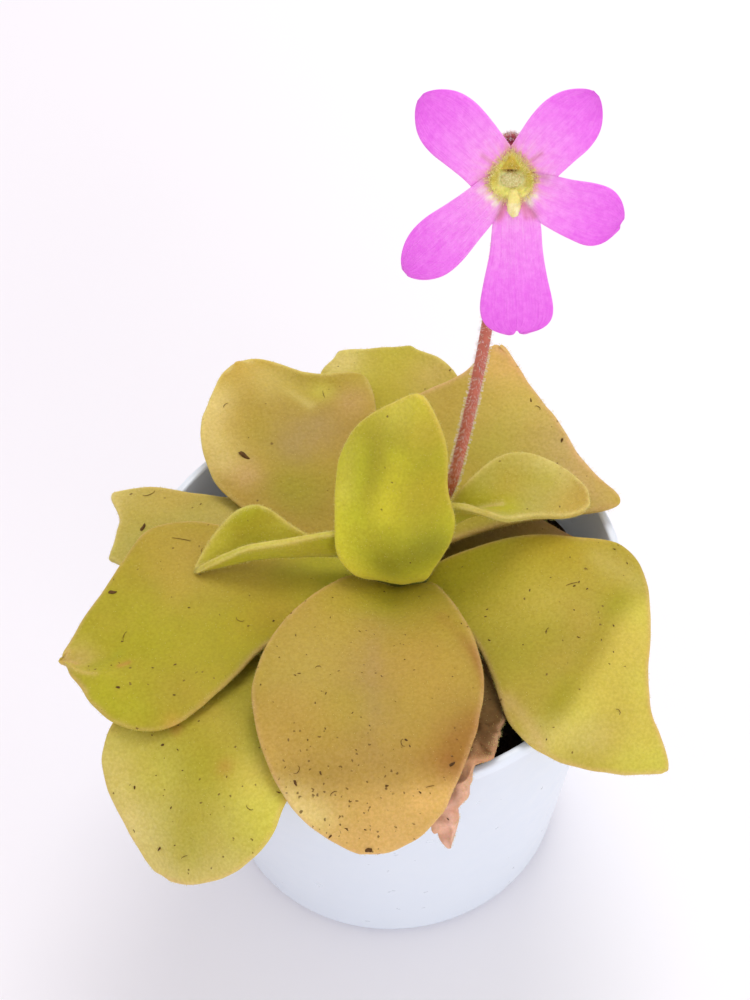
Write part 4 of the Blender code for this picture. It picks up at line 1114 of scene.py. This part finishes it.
funnel = spun("throat_funnel", [
    (0, -3.9), (1.2, -3.7), (1.6, -2.8), (1.9, -1.4), (2.3, -0.7), (2.6, -0.4), (2.9, -0.5), (2.7, -1.0),
    (2.5, -1.6), (2.3, -3.0), (1.3, -4.6), (0, -4.7),
], FUNNEL_STEPS, throat_skin)
bpy.ops.object.shade_smooth()
shaded(funnel, (0.72, 0.58, 0.17), (0.90, 0.52, 0.60), axis=2, start=-3.4, end=-0.8)

bpy.ops.mesh.primitive_uv_sphere_add(segments=32, ring_count=20, radius=1.0)
tongue = bpy.context.object
tongue.name = "throat_tongue"
fixed_order(tongue.data)
points = points_of(tongue.data) * MM
swell = np.array([noise.noise(Vector(point) * 2.0 + Vector(TONGUE_CENTRE)) for point in points])
points = np.sign(points) * np.abs(points) ** 0.9 * (1 + 0.10 * swell)[:, None] * TONGUE_SIZE + TONGUE_CENTRE
# Its upper end dips into the mouth.
points[:, 2] -= 0.55 * ease((points[:, 1] + 3.0) / 1.2)
move_points(tongue.data, points)
bpy.ops.object.shade_smooth()
shaded(tongue, (0.99, 0.88, 0.46), (0.95, 0.83, 0.28), axis=1, start=-3.21, end=-3.19)

downy("throat_tongue_down", tongue, yellow_tissue, "petal", count=260, width=0.26, low=0.10, high=0.22, sway=0.3)
downy("throat_mouth_down", mouth, yellow_tissue, "petal", count=420, width=0.26, low=0.08, high=0.20, sway=0.3)
bearing = np.radians(rng.uniform(-180, 180, FRINGE))
fringe_places = ring_places(mouth_reach(bearing) + rng.uniform(-0.6, 0.45, FRINGE), bearing, 0.1)
fringe_ways = np.stack([np.cos(bearing), np.sin(bearing), rng.uniform(0.2, 0.9, FRINGE)], axis=1)
fringe_tall = rng.uniform(0.25, 0.55, FRINGE)
fringe = hairs("throat_fringe", fringe_places, fringe_ways, FRINGE_WIDTH, fringe_tall, yellow_tissue)
in_flower(fringe, yellow_tissue, "petal")


def tube(name, knots, radii):
    """A closed round tube along a smooth path through knots on the flower's own axes, in mm."""
    stops = np.linspace(0, 1, TUBE_STEPS + 1)
    path = np.stack([between(column, stops) for column in zip(*knots, strict=True)], axis=1)
    piece = threads(name, radius=1, roundness=4, runs=[list(zip(path, between(radii, stops), strict=True))])
    bpy.ops.object.shade_smooth()
    return piece


spur = tube(
    "corolla_spur", ((0, -0.5, -4), (0.1, -2.2, -6.4), (0.2, -5.3, -8.8), (0.3, -9.5, -11.2)), (1.1, 0.9, 0.7, 0.4)
)
shaded(spur, (0.70, 0.42, 0.30), (0.62, 0.40, 0.16), axis=1, start=0, end=-9)
neck = tube("corolla_neck", ((0, 4.4, -5.0), (0, 3.5, -4.1), (0, 2.2, -3.3), (0, 0.8, -2.9)), (0.9, 1.15, 1.5, 1.8))
shaded(neck, (0.66, 0.50, 0.17), (0.55, 0.17, 0.15), axis=1, start=1.8, end=3.4)
receptacle = tube(
    "flower_receptacle", ((-0.1, 3.0, -6.85), (0, 3.85, -6.4), (0, 4.25, -5.9), (0, 4.25, -5.1)),
    (0.8, 0.84, 0.88, 0.9),
)
in_flower(receptacle, red_stalk, "scape")

# Pistil and stamens: a flat grey-green stigma over two pale anthers, all soft tissue, in the mouth of the
# throat. Each is a smooth copy of its plain solid.

stigma = Finish("stigma_skin", Roughness=0.5, soft=(0.3, 0.0006))
stigma_grain = stigma.ramp(stigma.grain(4200.0, 3.0), 0.35, 0.7)
stigma.paint(stigma_grain, (0.60, 0.51, 0.17), (0.88, 0.79, 0.42))
stigma.emboss(stigma_grain, 0.00005)
pistil = smooth_copy("pistil", "pistil_smooth", 1, stigma)
fitted(pistil, "stigma", "pistil")
pollen = Finish("anther", Roughness=0.6)
pollen.paint(pollen.grain(2500.0), (0.60, 0.46, 0.2), (0.85, 0.75, 0.45))
for name in ("stamen_left", "stamen_right"):
    fitted(smooth_copy(name, name + "_smooth", 1, pollen), "stamen", name)

bpy.data.objects.remove(lump)
bpy.data.objects.remove(hair)
